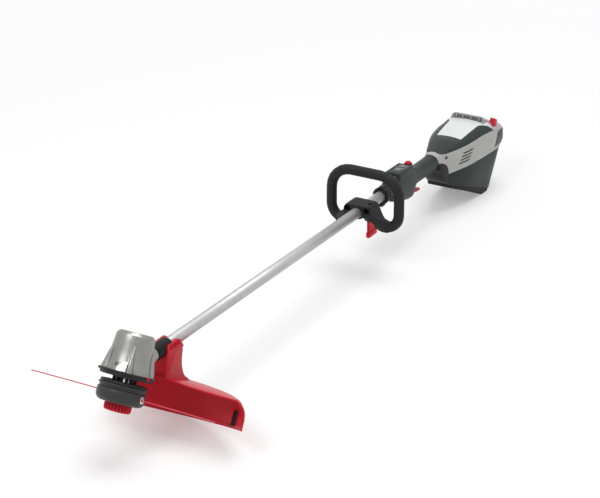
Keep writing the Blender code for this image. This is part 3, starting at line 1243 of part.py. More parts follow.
def make_battery():
    """Battery body and its cap in the slanted bay, and the terminal block under it."""
    half = BATTERY_HALF_WIDTH
    pack = block((0.0, -half, -BATTERY_HEIGHT), (BATTERY_DEPTH, half, -CAP_HEIGHT), 0.004)
    body = place("battery_body", pack, "black_plastic", BAY)
    place("battery_cap", block((0.0, -half, -CAP_HEIGHT + GAP), (BATTERY_DEPTH, half, 0.0), 0.004),
          "grey_plastic", BAY)
    under = -BATTERY_HEIGHT - 2 * BAY_CLEARANCE
    terminal = place("terminal_block", block((0.006, -0.026, under - TERMINAL_HEIGHT),
                                             (BATTERY_DEPTH - 0.012, 0.026, under)), "black_plastic", BAY)
    floor = inset(CASE_HULL, CASE_WALL + GAP)
    carve(terminal, cutter("terminal_floor", plate([floor], -0.1, 0.1, "XZ")), "INTERSECT")
    seat = CASE_LEVEL + CRADLE_WALL + GAP
    laminate = block((1.356, -0.026, seat), (1.408, 0.026, seat + 0.0016))
    board = place("controller_board", laminate, "circuit_board")
    heat_sink = block((1.362, -0.018, seat + 0.001), (1.392, 0.018, seat + 0.014))
    carve(board, cutter("heat_sink", heat_sink), "UNION")
    low, high = LATCH_LOW, LATCH_HIGH
    place("release_latch", block(low, high, 0.0015), "red_plastic", BAY)
    return body


def make_foot():
    """Flat rear foot under the case's lowest corner, with a skid running forward; it stands on the floor."""
    mesh = block((-FOOT_HALF_LENGTH, -FOOT_HALF_WIDTH, 0.0), (FOOT_HALF_LENGTH, FOOT_HALF_WIDTH, 0.016))
    foot = place("rear_foot", mesh, "black_rubber", None)
    pitch = (BOTTOM_REAR[1] - BOTTOM_FRONT[1]) / (BOTTOM_REAR[0] - BOTTOM_FRONT[0])
    start = (SKID_FRONT, BOTTOM_FRONT[1] + pitch * (SKID_FRONT - BOTTOM_FRONT[0]))
    foot_front = BOTTOM_REAR[0] - FOOT_SETBACK - 2 * FOOT_HALF_LENGTH
    above_foot = BOTTOM_FRONT[1] + pitch * (foot_front - BOTTOM_FRONT[0])
    skid = [(start[0], start[1] + 0.002), (start[0] - 0.002, start[1] - SKID_DEPTH * 0.6),
            (start[0] + 0.002, start[1] - SKID_DEPTH), (foot_front, above_foot - SKID_REAR_DEPTH),
            (BOTTOM_REAR[0] - 0.010, BOTTOM_REAR[1] - 0.0015), (BOTTOM_REAR[0], BOTTOM_REAR[1] + 0.004)]
    carve(foot, cutter("skid", plate([skid], -FOOT_HALF_WIDTH, FOOT_HALF_WIDTH, "XZ")), "UNION")
    carve(foot, cutter("foot_plan", housing_form(FOOT_INSET)), "INTERSECT")
    well = block((SKID_WELL_FRONT, -SKID_WELL_HALF_WIDTH, -0.200), (foot_front, SKID_WELL_HALF_WIDTH, 0.0))
    carve(foot, cutter("skid_well", well))
    form = cutter("foot_form", housing_form())
    side = cutter("foot_side", plate([shifted(SIDE_OUTLINE, -GAP)], -0.1, 0.1, "XZ"))
    carve(form, side, "INTERSECT")
    carve(foot, form)


def make_part():
    make_motor_dome()
    make_motor()
    make_cutting_head()
    make_guard()
    make_cutter_blade()
    make_tube()
    make_loop_handle()
    make_handle_clamp()
    make_handle_shells()
    make_controls()
    make_housing()
    make_battery()
    make_foot()


make_part()
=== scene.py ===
"""Finishes, added pieces, studio and camera of a cordless string trimmer, laid out as a Blender add-on."""

import json
import math

import bmesh
import bpy
from mathutils import Matrix, Vector


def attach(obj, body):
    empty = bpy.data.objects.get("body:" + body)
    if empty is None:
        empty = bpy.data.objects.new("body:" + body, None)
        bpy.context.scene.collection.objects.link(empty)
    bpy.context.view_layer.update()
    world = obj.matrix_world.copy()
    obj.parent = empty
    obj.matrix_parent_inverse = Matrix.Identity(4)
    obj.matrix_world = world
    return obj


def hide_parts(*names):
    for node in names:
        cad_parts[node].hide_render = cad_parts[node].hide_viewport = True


bl_info = {
    "name": "Cordless string trimmer",
    "version": (1, 0, 0),
    "blender": (4, 5, 0),
    "location": "View3D > Sidebar > Trimmer",
    "description": "Dresses the cordless string trimmer with its finishes, small pieces, studio and camera",
    "category": "Add Mesh",
}

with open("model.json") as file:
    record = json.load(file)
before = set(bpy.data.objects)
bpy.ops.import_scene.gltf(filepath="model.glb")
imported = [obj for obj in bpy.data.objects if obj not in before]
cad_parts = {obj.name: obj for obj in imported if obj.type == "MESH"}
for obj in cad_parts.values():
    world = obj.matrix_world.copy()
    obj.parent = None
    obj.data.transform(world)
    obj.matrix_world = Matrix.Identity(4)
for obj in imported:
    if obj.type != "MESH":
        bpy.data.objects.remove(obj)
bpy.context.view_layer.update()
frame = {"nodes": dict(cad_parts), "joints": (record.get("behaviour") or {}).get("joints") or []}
NODES = frame["nodes"]
JOINTS = {joint["name"]: joint for joint in frame["joints"]}

MM = 0.001

# The tube frame: X along the tube from the head's axis, Z up and square to it, in millimetres
TUBE_X = Vector(JOINTS["handle_slide"]["axis"])
TUBE_Z = Vector((-TUBE_X.z, 0.0, TUBE_X.x))
HEAD_AT = Vector(JOINTS["head_spin"]["pos_m"])
HEAD_Z = Vector(JOINTS["head_spin"]["axis"])
BAY_Z = Vector(JOINTS["battery_slide"]["axis"])

# The front top edge of the battery's cap, in the tube frame
CAP_FRONT = Vector((1504.0, 0.0, 58.0))


def frame_matrix(along, up, origin):
    """World matrix of a frame measured in millimetres, from its X and Z directions and its origin."""
    across = up.cross(along)
    turn = Matrix((along, across, up)).transposed().to_4x4()
    return Matrix.Translation(origin) @ turn @ Matrix.Scale(MM, 4)


TUBE = frame_matrix(TUBE_X, TUBE_Z, HEAD_AT)
HEAD = frame_matrix(Vector((HEAD_Z.z, 0.0, -HEAD_Z.x)), HEAD_Z, HEAD_AT)
BAY = frame_matrix(Vector((BAY_Z.z, 0.0, -BAY_Z.x)), BAY_Z, TUBE @ CAP_FRONT)

# The photograph's camera: its place in the tube frame, its turn and tilt, its lens and sensor in mm, and
# how far it sees in metres
CAMERA_AT = Vector((-2747.22, -1983.65, 1737.86))
CAMERA_AZIMUTH = math.radians(-59.8045)
CAMERA_ELEVATION = math.radians(23.6909)
CAMERA_LENS = 118.19
CAMERA_SENSOR = 36.0
CAMERA_REACH = 100.0

# The studio, in metres and watts: each lamp's place from the middle of the trimmer, its size and its power
MIDDLE = Vector((-0.75, 0.0, 0.0))
LAMP_AIM = Vector((0.0, 0.0, 0.1))
LAMPS = {"key light": ((1.2, -0.25, 5.2), 3.2, 130.0), "fill light": ((-2.0, 0.3, 2.4), 1.2, 20.0)}
SKY_LIGHT = 0.54
WHITE = (1.0, 1.0, 1.0, 1.0)
PAPER = (0.97, 0.97, 0.97, 1.0)

# The floor is part white light: this share near the trimmer, and all of it by the far distance
NEAR_SHARE = 0.30
NEAR_DISTANCE = 1.2
FAR_DISTANCE = 3.4

# Heights along the head's axis and radii round it, as in the solids
PLATE_UNDERSIDE = -10.8
FLANGE_TOP = -25.0
CUP_RADIUS = 48.5
SPINDLE_RADIUS = 5.0
FIN_COUNT = 5

# The fan's disc and blades, which the scene adds in the head's gap
FAN_DISC_TOP = -19.5
FAN_DISC_RADIUS = 46.2
HUB_GAP = 0.8
BLADE_GAP = 1.0
BLADE_HALF_LENGTH = 3.4
BLADE_HALF_THICKNESS = 1.1

# The sleeve behind the knob's ribs, which the scene adds: its dark red is painted shade for the gaps
# between the ribs
KNOB_GAPS_TOP = -61.5
KNOB_GAPS_BOTTOM = -75.0
KNOB_GAPS_RADII = (20.0, 24.9)

# The cutting line: its height, both ends from the head's axis, its droop, its thickness and its points
LINE_HEIGHT = -45.0
LINE_START = 46.7
LINE_END = 214.0
LINE_SAG = 1.5
LINE_DIAMETER = 2.4
LINE_POINTS = 28

# The dome's screws: the fins that have one, and its place and tilt from the first fin
BOSS_FINS = (0, 2, 3)
BOSS_AT = (45.2, 0.0, 14.0)
BOSS_TILT = math.radians(52.0)
CLIP_TURN = math.radians(261.0)

# Stations along the tube, heights over it and radii, as in the solids
TUBE_RADIUS = 12.5
NOSE_FRONT = 1034.0
PANEL_FACE = 38.3
POWER_BUTTON = (1146.0, 0.0)
POWER_BUTTON_RADIUS = 5.5
LOCK_BUTTON = (1175.0, 0.0)
LOCK_BUTTON_RADIUS = 8.0
GRIP_END = 1305.0

# The loop handle's screw hole and the two pockets in front of its saddle
HANDLE_HOLE = (943.0, -21.5)
HANDLE_HOLE_RADIUS = 4.8
POCKET_ACROSS = 24.5
POCKET_HALF_WIDTH = 7.2
POCKET_ENDS = (910.0, 936.0)
POCKET_HEIGHTS = (1.0, 13.4)

# The frame round the display, by two of its corners, and the sunk window in it
FRAME_LOW = (1094.0, -20.4, 18.0)
FRAME_HIGH = (1163.0, 20.4, 38.9)
WINDOW_ENDS = (1109.4, 1158.6)
WINDOW_HALF_WIDTH = 13.8
WINDOW_DEPTH = 14.0

# The strokes of the charge bar on the display, and how thick printed ink is drawn
STROKE_COUNT = 4
STROKE_START = 1118.0
STROKE_STEP = 3.6
STROKE_WIDTH = 1.8
STROKE_HALF_LENGTH = 6.0
INK = 0.35

# The screws at the front of the side bands
SIDE_SCREW = (1326.0, 27.5, 5.5)
SIDE_SCREW_TILT = math.radians(19.0)

# The white wings and the light rear rim on the cover: where they begin beside the panel, where they meet
WING_ACROSS = 37.0
WING_CORNER = (1474.0, 38.0)
WING_SLANT = 1.7
WING_REAR = 1514.0
WING_THICKNESS = 0.6
COVER_HALF_WIDTH = 40.0

# The battery's cap, as in the solids, and its gap over the battery
BATTERY_DEPTH = 76.0
BATTERY_HALF_WIDTH = 45.5
CAP_HEIGHT = 30.0
CAP_GAP = 0.3

# The dish on the cap and the finger recess in its front: the rim, the wall's lean and the depth
DISH = (7.0, 1.6, 1.8)
RECESS = (3.2, 0.8, 2.6)
BARS_ACROSS = (-30.0, -8.0, 14.0, 32.0)
BAR_HALF_WIDTH = 1.6


def linear(code):
    """Linear colour of an sRGB hex code."""
    channels = [int(code[index:index + 2], 16) / 255.0 for index in (0, 2, 4)]
    return [value / 12.92 if value <= 0.04045 else ((value + 0.055) / 1.055) ** 2.4 for value in channels]


def add_node(tree, kind, inputs=None, **settings):
    """Add a node, give it its settings, and fill or link its inputs."""
    node = tree.nodes.new(kind)
    for name, value in settings.items():
        setattr(node, name, value)
    for name, value in (inputs or {}).items():
        if isinstance(value, bpy.types.NodeSocket):
            tree.links.new(value, node.inputs[name])
        else:
            node.inputs[name].default_value = value
    return node


def start_material(name):
    """An empty node tree with an output and object coordinates."""
    material = bpy.data.materials.new(name)
    material.use_nodes = True
    tree = material.node_tree
    tree.nodes.clear()
    output = add_node(tree, "ShaderNodeOutputMaterial")
    place = add_node(tree, "ShaderNodeTexCoord").outputs["Object"]
    return material, tree, output, place


def finish_material(tree, output, **inputs):
    """The surface shader, linked to the output."""
    sockets = {name.replace("_", " "): value for name, value in inputs.items()}
    shader = add_node(tree, "ShaderNodeBsdfPrincipled", sockets)
    tree.links.new(shader.outputs["BSDF"], output.inputs["Surface"])
    return shader


def per_metre(size_mm):
    """Marks in a metre: a pattern's scale on object coordinates, from the size of one mark."""
    return 1.0 / MM / size_mm


def varied(tree, place, code, amount, patch_mm):
    """A colour that drifts a little over the surface, as moulded and cast parts do."""
    colour = linear(code)
    patches = add_node(tree, "ShaderNodeTexNoise", {"Vector": place, "Scale": per_metre(patch_mm),
                                                    "Detail": 3.0})
    ramp = add_node(tree, "ShaderNodeValToRGB", {"Fac": patches.outputs["Fac"]})
    for element, position, change in zip(ramp.color_ramp.elements, (0.30, 0.70), (-amount, amount)):
        element.position = position
        element.color = (*[min(1.0, channel * (1.0 + change)) for channel in colour], 1.0)
    return ramp.outputs["Color"]


def worked_skin(tree, pattern, strength, height_mm, roughness):
    """Relief and roughness that follow one pattern, between the lowest and the highest roughness."""
    bump = add_node(tree, "ShaderNodeBump", {"Height": pattern, "Strength": strength,
                                             "Distance": height_mm * MM})
    gloss = add_node(tree, "ShaderNodeMapRange", {"Value": pattern, "To Min": roughness[0],
                                                  "To Max": roughness[1]})
    return {"Normal": bump.outputs["Normal"], "Roughness": gloss.outputs["Result"]}


def moulded_plastic(name, code, roughness, grain_mm, depth, drift, gloss_level):
    """Plastic from a spark-eroded mould: a fine even grain that softens the highlights.

    The real grain is about 0.1 mm; it is drawn coarser so that it shows.
    """
    material, tree, output, place = start_material(name)
    grain = add_node(tree, "ShaderNodeTexNoise", {"Vector": place, "Scale": per_metre(grain_mm),
                                                  "Detail": 2.0})
    skin = worked_skin(tree, grain.outputs["Fac"], depth, 0.4, (roughness - 0.05, roughness + 0.07))
    finish_material(tree, output, Base_Color=varied(tree, place, code, drift, 60.0), IOR=1.53,
                    Specular_IOR_Level=gloss_level, **skin)
    return material


def soft_rubber(name, code):
    """Rubber over a grip: matt, with a pebbled skin and a faint sheen.

    The real pebbles are about 0.4 mm; they are drawn coarser so that they show.
    """
    material, tree, output, place = start_material(name)
    pebbles = add_node(tree, "ShaderNodeTexVoronoi", {"Vector": place, "Scale": per_metre(1.6)})
    bump = add_node(tree, "ShaderNodeBump", {"Height": pebbles.outputs["Distance"], "Strength": 0.18,
                                             "Distance": 0.3 * MM})
    finish_material(tree, output, Base_Color=varied(tree, place, code, 0.10, 45.0), Roughness=0.58,
                    Normal=bump.outputs["Normal"], IOR=1.50, Specular_IOR_Level=0.22)
    return material


def anodised_tube(name, code):
    """Drawn aluminium tube, satin anodised: draw lines along its length stretch the highlight.

    The real lines are about 0.05 mm wide; they are drawn coarser so that they show.
    """
    material, tree, output, place = start_material(name)
    stretch = add_node(tree, "ShaderNodeMapping", {"Vector": place, "Scale": (0.02, 1.0, 1.0)})
    lines = add_node(tree, "ShaderNodeTexNoise", {"Vector": stretch.outputs["Vector"],
                                                  "Scale": per_metre(1.2), "Detail": 3.0})
    skin = worked_skin(tree, lines.outputs["Fac"], 0.06, 0.2, (0.38, 0.50))
    finish_material(tree, output, Base_Color=varied(tree, place, code, 0.04, 25.0), Metallic=0.7, **skin)
    return material


def cast_aluminium(name, code):
    """Die-cast aluminium under thin silver paint: a slightly uneven skin with a soft metallic sheen."""
    material, tree, output, place = start_material(name)
    waves = add_node(tree, "ShaderNodeTexNoise", {"Vector": place, "Scale": per_metre(2.2), "Detail": 4.0})
    skin = worked_skin(tree, waves.outputs["Fac"], 0.10, 0.4, (0.24, 0.38))
    finish_material(tree, output, Base_Color=varied(tree, place, code, 0.08, 24.0), Metallic=0.92, **skin)
    return material


def machined_steel(name, code, roughness):
    """Turned, drawn or wound metal: fine marks break up its gloss.

    The real marks are about 0.1 mm apart; they are drawn coarser so that they show.
    """
    material, tree, output, place = start_material(name)
    marks = add_node(tree, "ShaderNodeTexNoise", {"Vector": place, "Scale": per_metre(0.8), "Detail": 3.0})
    skin = worked_skin(tree, marks.outputs["Fac"], 0.04, 0.1, (roughness - 0.06, roughness + 0.10))
    finish_material(tree, output, Base_Color=varied(tree, place, code, 0.08, 8.0), Metallic=1.0, **skin)
    return material


def extruded_nylon(name, code):
    """Extruded nylon line: smooth and glossy, with a bright highlight along its length."""
    material, tree, output, place = start_material(name)
    streaks = add_node(tree, "ShaderNodeTexNoise", {"Vector": place, "Scale": per_metre(6.0),
                                                    "Detail": 2.0})
    gloss = add_node(tree, "ShaderNodeMapRange", {"Value": streaks.outputs["Fac"], "To Min": 0.22,
                                                  "To Max": 0.34})
    finish_material(tree, output, Base_Color=varied(tree, place, code, 0.06, 12.0),
                    Roughness=gloss.outputs["Result"], IOR=1.53, Coat_Weight=0.3)
    return material


def fresh_object(name, data):
    """A new object at the world's origin, linked to the scene."""
    piece = bpy.data.objects.new(name, data)
    bpy.context.scene.collection.objects.link(piece)
    return piece


def mesh_of(name, bm):
    """A mesh of a shape; the shape itself is freed."""
    mesh = bpy.data.meshes.new(name)
    bm.to_mesh(mesh)
    bm.free()
    return mesh


def finished(name, bm, place, finish, body, smooth=35.0):
    """Turn a shape drawn in millimetres in one of the frames into a piece that rides on a body."""
    bmesh.ops.remove_doubles(bm, verts=bm.verts, dist=0.002)
    bmesh.ops.recalc_face_normals(bm, faces=bm.faces)
    mesh = mesh_of(name, moved(bm, place))
    mesh.shade_smooth()
    mesh.set_sharp_from_angle(angle=math.radians(smooth))
    return dressed_piece(fresh_object(name, mesh), finish, body)


def dressed_piece(piece, finish, body):
    """Give a piece its material, and let it ride on its body."""
    piece.data.materials.clear()
    piece.data.materials.append(FINISH[finish])
    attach(piece, body)
    return piece


def moved(bm, matrix):
    """The shape, moved by a matrix."""
    bm.transform(matrix)
    return bm


def turned(profile, steps=64):
    """A shape spun round Z from the (radius, height) points of its section."""
    bm = bmesh.new()
    corners = [bm.verts.new((radius, 0.0, height)) for radius, height in profile]
    edges = [bm.edges.new(pair) for pair in zip(corners, corners[1:])]
    if profile[0][0] > 0.0:
        edges.append(bm.edges.new((corners[-1], corners[0])))
    bmesh.ops.spin(bm, geom=corners + edges, cent=(0.0, 0.0, 0.0), axis=(0.0, 0.0, 1.0),
                   dvec=(0.0, 0.0, 0.0), angle=2.0 * math.pi, steps=steps, use_merge=True)
    bmesh.ops.remove_doubles(bm, verts=bm.verts, dist=0.001)
    return bm


def rounded(bm, edges, radius, segments):
    """Round some edges of a shape."""
    bmesh.ops.bevel(bm, geom=edges, offset=radius, offset_type="OFFSET", segments=segments, profile=0.5,
                    affect="EDGES", material=-1)


def box(low, high):
    """A box between two corners."""
    bm = bmesh.new()
    bmesh.ops.create_cube(bm, size=1.0)
    bmesh.ops.scale(bm, verts=bm.verts, vec=Vector(high) - Vector(low))
    bmesh.ops.translate(bm, verts=bm.verts, vec=(Vector(high) + Vector(low)) / 2.0)
    return bm


def block(low, high, radius, segments=2):
    """A box between two corners with its edges rounded."""
    bm = box(low, high)
    rounded(bm, bm.edges[:], radius, segments)
    return bm


def joined(shapes):
    """Several shapes in one."""
    whole = bmesh.new()
    for shape in shapes:
        mesh = mesh_of("shape", shape)
        whole.from_mesh(mesh)
        bpy.data.meshes.remove(mesh)
    return whole


def sliced(bm, point, normal):
    """Cut a shape at a plane, clear what its normal points to, and give the cut's edges."""
    whole = bm.verts[:] + bm.edges[:] + bm.faces[:]
    cut = bmesh.ops.bisect_plane(bm, geom=whole, plane_co=point, plane_no=normal, clear_outer=True)
    return [item for item in cut["geom_cut"] if isinstance(item, bmesh.types.BMEdge)]


def squared(angle, power):
    """Cosine and sine of an angle, drawn toward a square by a power below one."""
    shares = math.cos(angle), math.sin(angle)
    return [math.copysign(abs(share) ** power, share) for share in shares]


def soften(piece, width):
    """Weld a piece's triangles, round its sharp edges and shade it smooth between them."""
    weld = piece.modifiers.new("weld", "WELD")
    weld.merge_threshold = 0.00001
    if width > 0.0:
        bevel = piece.modifiers.new("edges", "BEVEL")
        bevel.width = width
        bevel.segments = 2
        bevel.limit_method = "ANGLE"
        bevel.angle_limit = math.radians(38.0)
        bevel.harden_normals = False
    for polygon in piece.data.polygons:
        polygon.use_smooth = True


def in_mm(value):
    """A length property, which Blender keeps in metres, in millimetres."""
    return value / MM


class TrimmerColours(bpy.types.PropertyGroup):
    """Colours of the trimmer's finishes, as sRGB hex codes"""

    body: bpy.props.StringProperty(name="Body", description="Dark green case and grip", default="283131")
    band: bpy.props.StringProperty(name="Side band", description="Light grey side bands", default="ADADAA")
    panel: bpy.props.StringProperty(name="Top panel", description="White top panel", default="DEE0E0")
    red: bpy.props.StringProperty(name="Red", description="Guard, knob, levers, buttons", default="C22231")
    # Painted shade: a darker copy of the red that darkens the gaps between the knob's ribs
    knob_gap_shade: bpy.props.StringProperty(name="Knob gaps", description="Gaps in the knob", default="74141F")
    black: bpy.props.StringProperty(name="Black", description="Head, clamp and ring", default="242424")
    spool: bpy.props.StringProperty(name="Spool", description="Flange, cup and reel", default="353535")
    rubber: bpy.props.StringProperty(name="Rubber", description="Grips and foot", default="202020")
    sleeve: bpy.props.StringProperty(name="Sleeve", description="Sleeve by the head", default="0C0C0C")
    tube: bpy.props.StringProperty(name="Tube", description="Anodised tube", default="B9B9B9")
    dome: bpy.props.StringProperty(name="Dome", description="Silver motor dome", default="8F8F8B")
    # Painted highlight: a much paler copy of the dome's colour, for its skirts
    cast_painted_highlight: bpy.props.StringProperty(name="Skirts", description="Dome's skirts", default="DCDCD8")
    steel: bpy.props.StringProperty(name="Steel", description="Fasteners and shafts", default="B4B4B2")
    blade: bpy.props.StringProperty(name="Blade", description="Cutter blade, dark screws", default="3A3A3C")
    polished: bpy.props.StringProperty(name="Polished", description="Hub and shields", default="E6E6E4")
    grey: bpy.props.StringProperty(name="Grey", description="Power button", default="7D807E")
    cap: bpy.props.StringProperty(name="Cap", description="Battery cap", default="A3A29F")
    # Painted shade: a darker copy of the cap's grey for the floor of its finger recess
    recess: bpy.props.StringProperty(name="Recess", description="Floor of the recess", default="5F605D")
    bumper: bpy.props.StringProperty(name="Bumper", description="Dark rear bumper", default="404444")
    display: bpy.props.StringProperty(name="Display", description="Dark display window", default="2B3232")
    icons: bpy.props.StringProperty(name="Signs", description="Signs on the display", default="A6A9A8")
    line: bpy.props.StringProperty(name="Line", description="Cutting line", default="C8283A")
    winding: bpy.props.StringProperty(name="Winding", description="Motor's winding", default="B56A3A")
    board: bpy.props.StringProperty(name="Board", description="Controller board", default="1E5A36")


class TrimmerSizes(bpy.types.PropertyGroup):
    """Sizes of the pieces that the scene adds"""

    edge: bpy.props.FloatProperty(
        name="Edge", description="Rounding of moulded edges", default=0.0008, unit="LENGTH")
    fan_blades: bpy.props.IntProperty(
        name="Fan blades", description="Number of blades round the hub", default=13, min=8)
    fan_lean: bpy.props.FloatProperty(
        name="Fan lean", description="Lean of a fan blade from the radius", default=math.radians(74.0),
        unit="ROTATION")
    hub_radius: bpy.props.FloatProperty(
        name="Hub radius", description="Bright hub between the plate and the spool", default=0.019,
        unit="LENGTH")
    shield: bpy.props.FloatProperty(
        name="Eyelet shield", description="Half width of the shield round an eyelet", default=0.0068,
        unit="LENGTH")
    voxel: bpy.props.FloatProperty(
        name="Handle grain", description="Mesh size of the moulded loop handle", default=0.0014,
        unit="LENGTH")
    cap_corner: bpy.props.FloatProperty(
        name="Cap corner", description="Corner radius of the battery cap", default=0.012, unit="LENGTH")
    floor_reach: bpy.props.FloatProperty(
        name="Floor", description="Half width of the floor", default=9.0, unit="LENGTH")


NODES_BY_FINISH = {
    "body": ["handle_shell_left", "handle_shell_right", "top_cover", "lower_case"],
    "band": ["side_band_left", "side_band_right"],
    "panel": ["top_panel"],
    "red": ["guard", "bump_knob", "clamp_lever", "trigger", "lock_off_button", "release_latch"],
    "spool": ["fan_flange", "spool_cup", "line_reel"],
    "black": ["base_plate", "handle_clamp", "nose_ring", "front_cover", "battery_cradle", "battery_body",
              "terminal_block", "switch_block"],
    "sleeve": ["tube_sleeve"],
    "rubber": ["loop_handle", "rear_foot", "motor_cable"],
    "tube": ["main_tube"],
    "dome": ["motor_dome"],
    "steel": ["lower_bearing", "upper_bearing", "rotor_bell", "spindle", "eyelet_left", "eyelet_right",
              "knob_spring", "lever_pin", "clamp_bolt_left", "clamp_bolt_right", "trigger_pin",
              "trigger_spring"],
    "grey": ["power_button", "battery_cap"],
    "display": ["display_panel"],
    "bumper": ["rear_bumper"],
    "blade": ["cutter_blade"],
    "winding": ["stator"],
    "line": ["line_left", "line_right", "line_winding"],
    "board": ["controller_board"],
}
ROUND_NODES = {"line_left", "line_right", "knob_spring", "trigger_spring", "motor_cable", "main_tube"}

# Each moulded plastic: its name, its roughness, its grain in mm and that grain's depth, how much its colour
# drifts, and its gloss level
MOULDED = {
    # Satin cases: the grain keeps their highlights broad and soft
    "body": ("dark green moulded ABS", 0.38, 1.4, 0.05, 0.05, 0.17),
    "band": ("light grey moulded ABS", 0.42, 1.4, 0.05, 0.03, 0.30),
    "grey": ("mid grey moulded ABS", 0.40, 1.4, 0.05, 0.04, 0.30),
    "cap": ("light grey polycarbonate", 0.36, 1.4, 0.05, 0.04, 0.30),
    # Gloss surfaces and the window: a shallower grain, so that they mirror the studio a little
    "panel": ("white gloss ABS", 0.30, 1.4, 0.02, 0.02, 0.30),
    "display": ("dark acrylic window", 0.18, 3.0, 0.01, 0.03, 0.40),
    "red": ("red gloss polypropylene", 0.34, 2.2, 0.04, 0.05, 0.10),
    # Painted shade: dark copies of the cap's grey and the knob's red for the cap's recess and the knob's
    # gaps, rough so that no highlight shows in them
    "recess": ("grey polycarbonate with painted shade", 0.45, 1.4, 0.05, 0.04, 0.30),
    "knob_gap_shade": ("red polypropylene with painted shade", 0.50, 2.2, 0.04, 0.05, 0.10),
    # Nylon and polyamide: a deeper grain and a mottled skin
    "black": ("black glass-filled nylon", 0.45, 1.2, 0.08, 0.10, 0.20),
    "spool": ("dark grey glass-filled nylon", 0.42, 1.4, 0.07, 0.08, 0.25),
    "bumper": ("dark grey polyamide", 0.42, 1.4, 0.06, 0.05, 0.25),
    # Ink and lacquer: thin films that lie flat on what carries them
    "icons": ("pale printed ink", 0.50, 2.0, 0.02, 0.02, 0.30),
    "board": ("lacquered circuit board", 0.35, 3.0, 0.02, 0.10, 0.30),
}
FINISH = {}


def make_finishes(colours):
    """Every material of the trimmer, by the name of its finish."""
    for finish, (name, *surface) in MOULDED.items():
        FINISH[finish] = moulded_plastic(name, getattr(colours, finish), *surface)
    FINISH["rubber"] = soft_rubber("black thermoplastic rubber", colours.rubber)
    FINISH["sleeve"] = soft_rubber("black nitrile rubber", colours.sleeve)
    FINISH["tube"] = anodised_tube("anodised aluminium", colours.tube)
    FINISH["dome"] = cast_aluminium("painted die-cast aluminium", colours.dome)
    # Painted highlight: a paler copy of the dome's cast aluminium for its skirts
    FINISH["cast_painted_highlight"] = cast_aluminium("die-cast aluminium with painted highlight", colours.cast_painted_highlight)
    FINISH["steel"] = machined_steel("machined steel", colours.steel, 0.28)
    FINISH["polished"] = machined_steel("polished nickel-plated steel", colours.polished, 0.18)
    FINISH["blade"] = machined_steel("blackened spring steel", colours.blade, 0.38)
    FINISH["winding"] = machined_steel("enamelled copper winding", colours.winding, 0.35)
    FINISH["line"] = extruded_nylon("extruded nylon line", colours.line)


class TRIMMER_OT_finishes(bpy.types.Operator):
    """Give every CAD node its finish and soften its moulded edges"""

    bl_idname = "trimmer.finishes"
    bl_label = "Finishes"

    def execute(self, context):
        make_finishes(context.scene.trimmer_colours)
        width = context.scene.trimmer_sizes.edge
        for finish, names in NODES_BY_FINISH.items():
            for name in names:
                node = NODES[name]
                node.data.materials.clear()
                node.data.materials.append(FINISH[finish])
                soften(node, 0.0 if name in ROUND_NODES else width)
        return {"FINISHED"}


class TRIMMER_OT_lines(bpy.types.Operator):
    """Put the two free ends of the cutting line in their eyelets"""

    bl_idname = "trimmer.lines"
    bl_label = "Cutting line"

    def execute(self, context):
        add_line("line_end_left", "line_left", 1.0)
        add_line("line_end_right", "line_right", -1.0)
        return {"FINISHED"}


def add_line(name, node, side):
    """One stiff nylon end, straight out of its eyelet and drooping a little."""
    route = []
    for index in range(LINE_POINTS):
        share = index / (LINE_POINTS - 1)
        reach = LINE_START + (LINE_END - LINE_START) * share
        route.append(HEAD @ Vector((0.0, side * reach, LINE_HEIGHT - LINE_SAG * share * share)))
    curve = bpy.data.curves.new(name, "CURVE")
    curve.dimensions = "3D"
    curve.bevel_depth = LINE_DIAMETER / 2.0 * MM
    curve.bevel_resolution = 3
    curve.use_fill_caps = True
    spline = curve.splines.new("POLY")
    spline.points.add(LINE_POINTS - 1)
    for point, place in zip(spline.points, route):
        point.co = (*place, 1.0)
    piece = dressed_piece(fresh_object(name, curve), "line", "cutting_head")
    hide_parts(node)


class TRIMMER_OT_cutting_head(bpy.types.Operator):
    """Add the bright hub, the fan's disc and blades, the eyelet shields and the painted shade in the knob's
    gaps
    """

    bl_idname = "trimmer.cutting_head"
    bl_label = "Cutting head"

    def execute(self, context):
        sizes = context.scene.trimmer_sizes
        add_hub(in_mm(sizes.hub_radius))
        add_fan(sizes.fan_blades, sizes.fan_lean, in_mm(sizes.hub_radius))
        for name, turn in (("eyelet_shield_right", 0.0), ("eyelet_shield_left", math.pi)):
            add_shield(name, in_mm(sizes.shield), turn)
        add_knob_gaps()
        return {"FINISHED"}


def add_hub(radius):
    """The motor's turned hub, bright between the dark plate and the spool."""
    high = PLATE_UNDERSIDE - HUB_GAP
    profile = [(SPINDLE_RADIUS, FAN_DISC_TOP), (radius, FAN_DISC_TOP), (radius - 0.4, high - 1.0),
               (radius - 1.4, high), (SPINDLE_RADIUS, high)]
    finished("fan_hub", turned(profile), HEAD, "polished", "cutting_head")


def add_fan(count, lean, hub):
    """Leaning blades that draw air through the gap, on a disc over the spool's flange."""
    low = FLANGE_TOP + 0.1
    disc = turned([(SPINDLE_RADIUS, low), (FAN_DISC_RADIUS - 1.2, low), (FAN_DISC_RADIUS, low + 1.1),
                   (FAN_DISC_RADIUS - 0.8, FAN_DISC_TOP - 0.6), (38.0, FAN_DISC_TOP),
                   (SPINDLE_RADIUS, FAN_DISC_TOP)])
    shapes = [disc]
    for index in range(count):
        blade = block((-BLADE_HALF_LENGTH, -BLADE_HALF_THICKNESS, FAN_DISC_TOP - 0.4),
                      (BLADE_HALF_LENGTH, BLADE_HALF_THICKNESS, PLATE_UNDERSIDE - BLADE_GAP), 0.3, 1)
        moved(blade, Matrix.Rotation(lean, 4, "Z"))
        moved(blade, Matrix.Translation((hub + 3.2, 0.0, 0.0)))
        moved(blade, Matrix.Rotation(2.0 * math.pi * index / count, 4, "Z"))
        shapes.append(blade)
    finished("fan_blades", joined(shapes), HEAD, "black", "cutting_head")


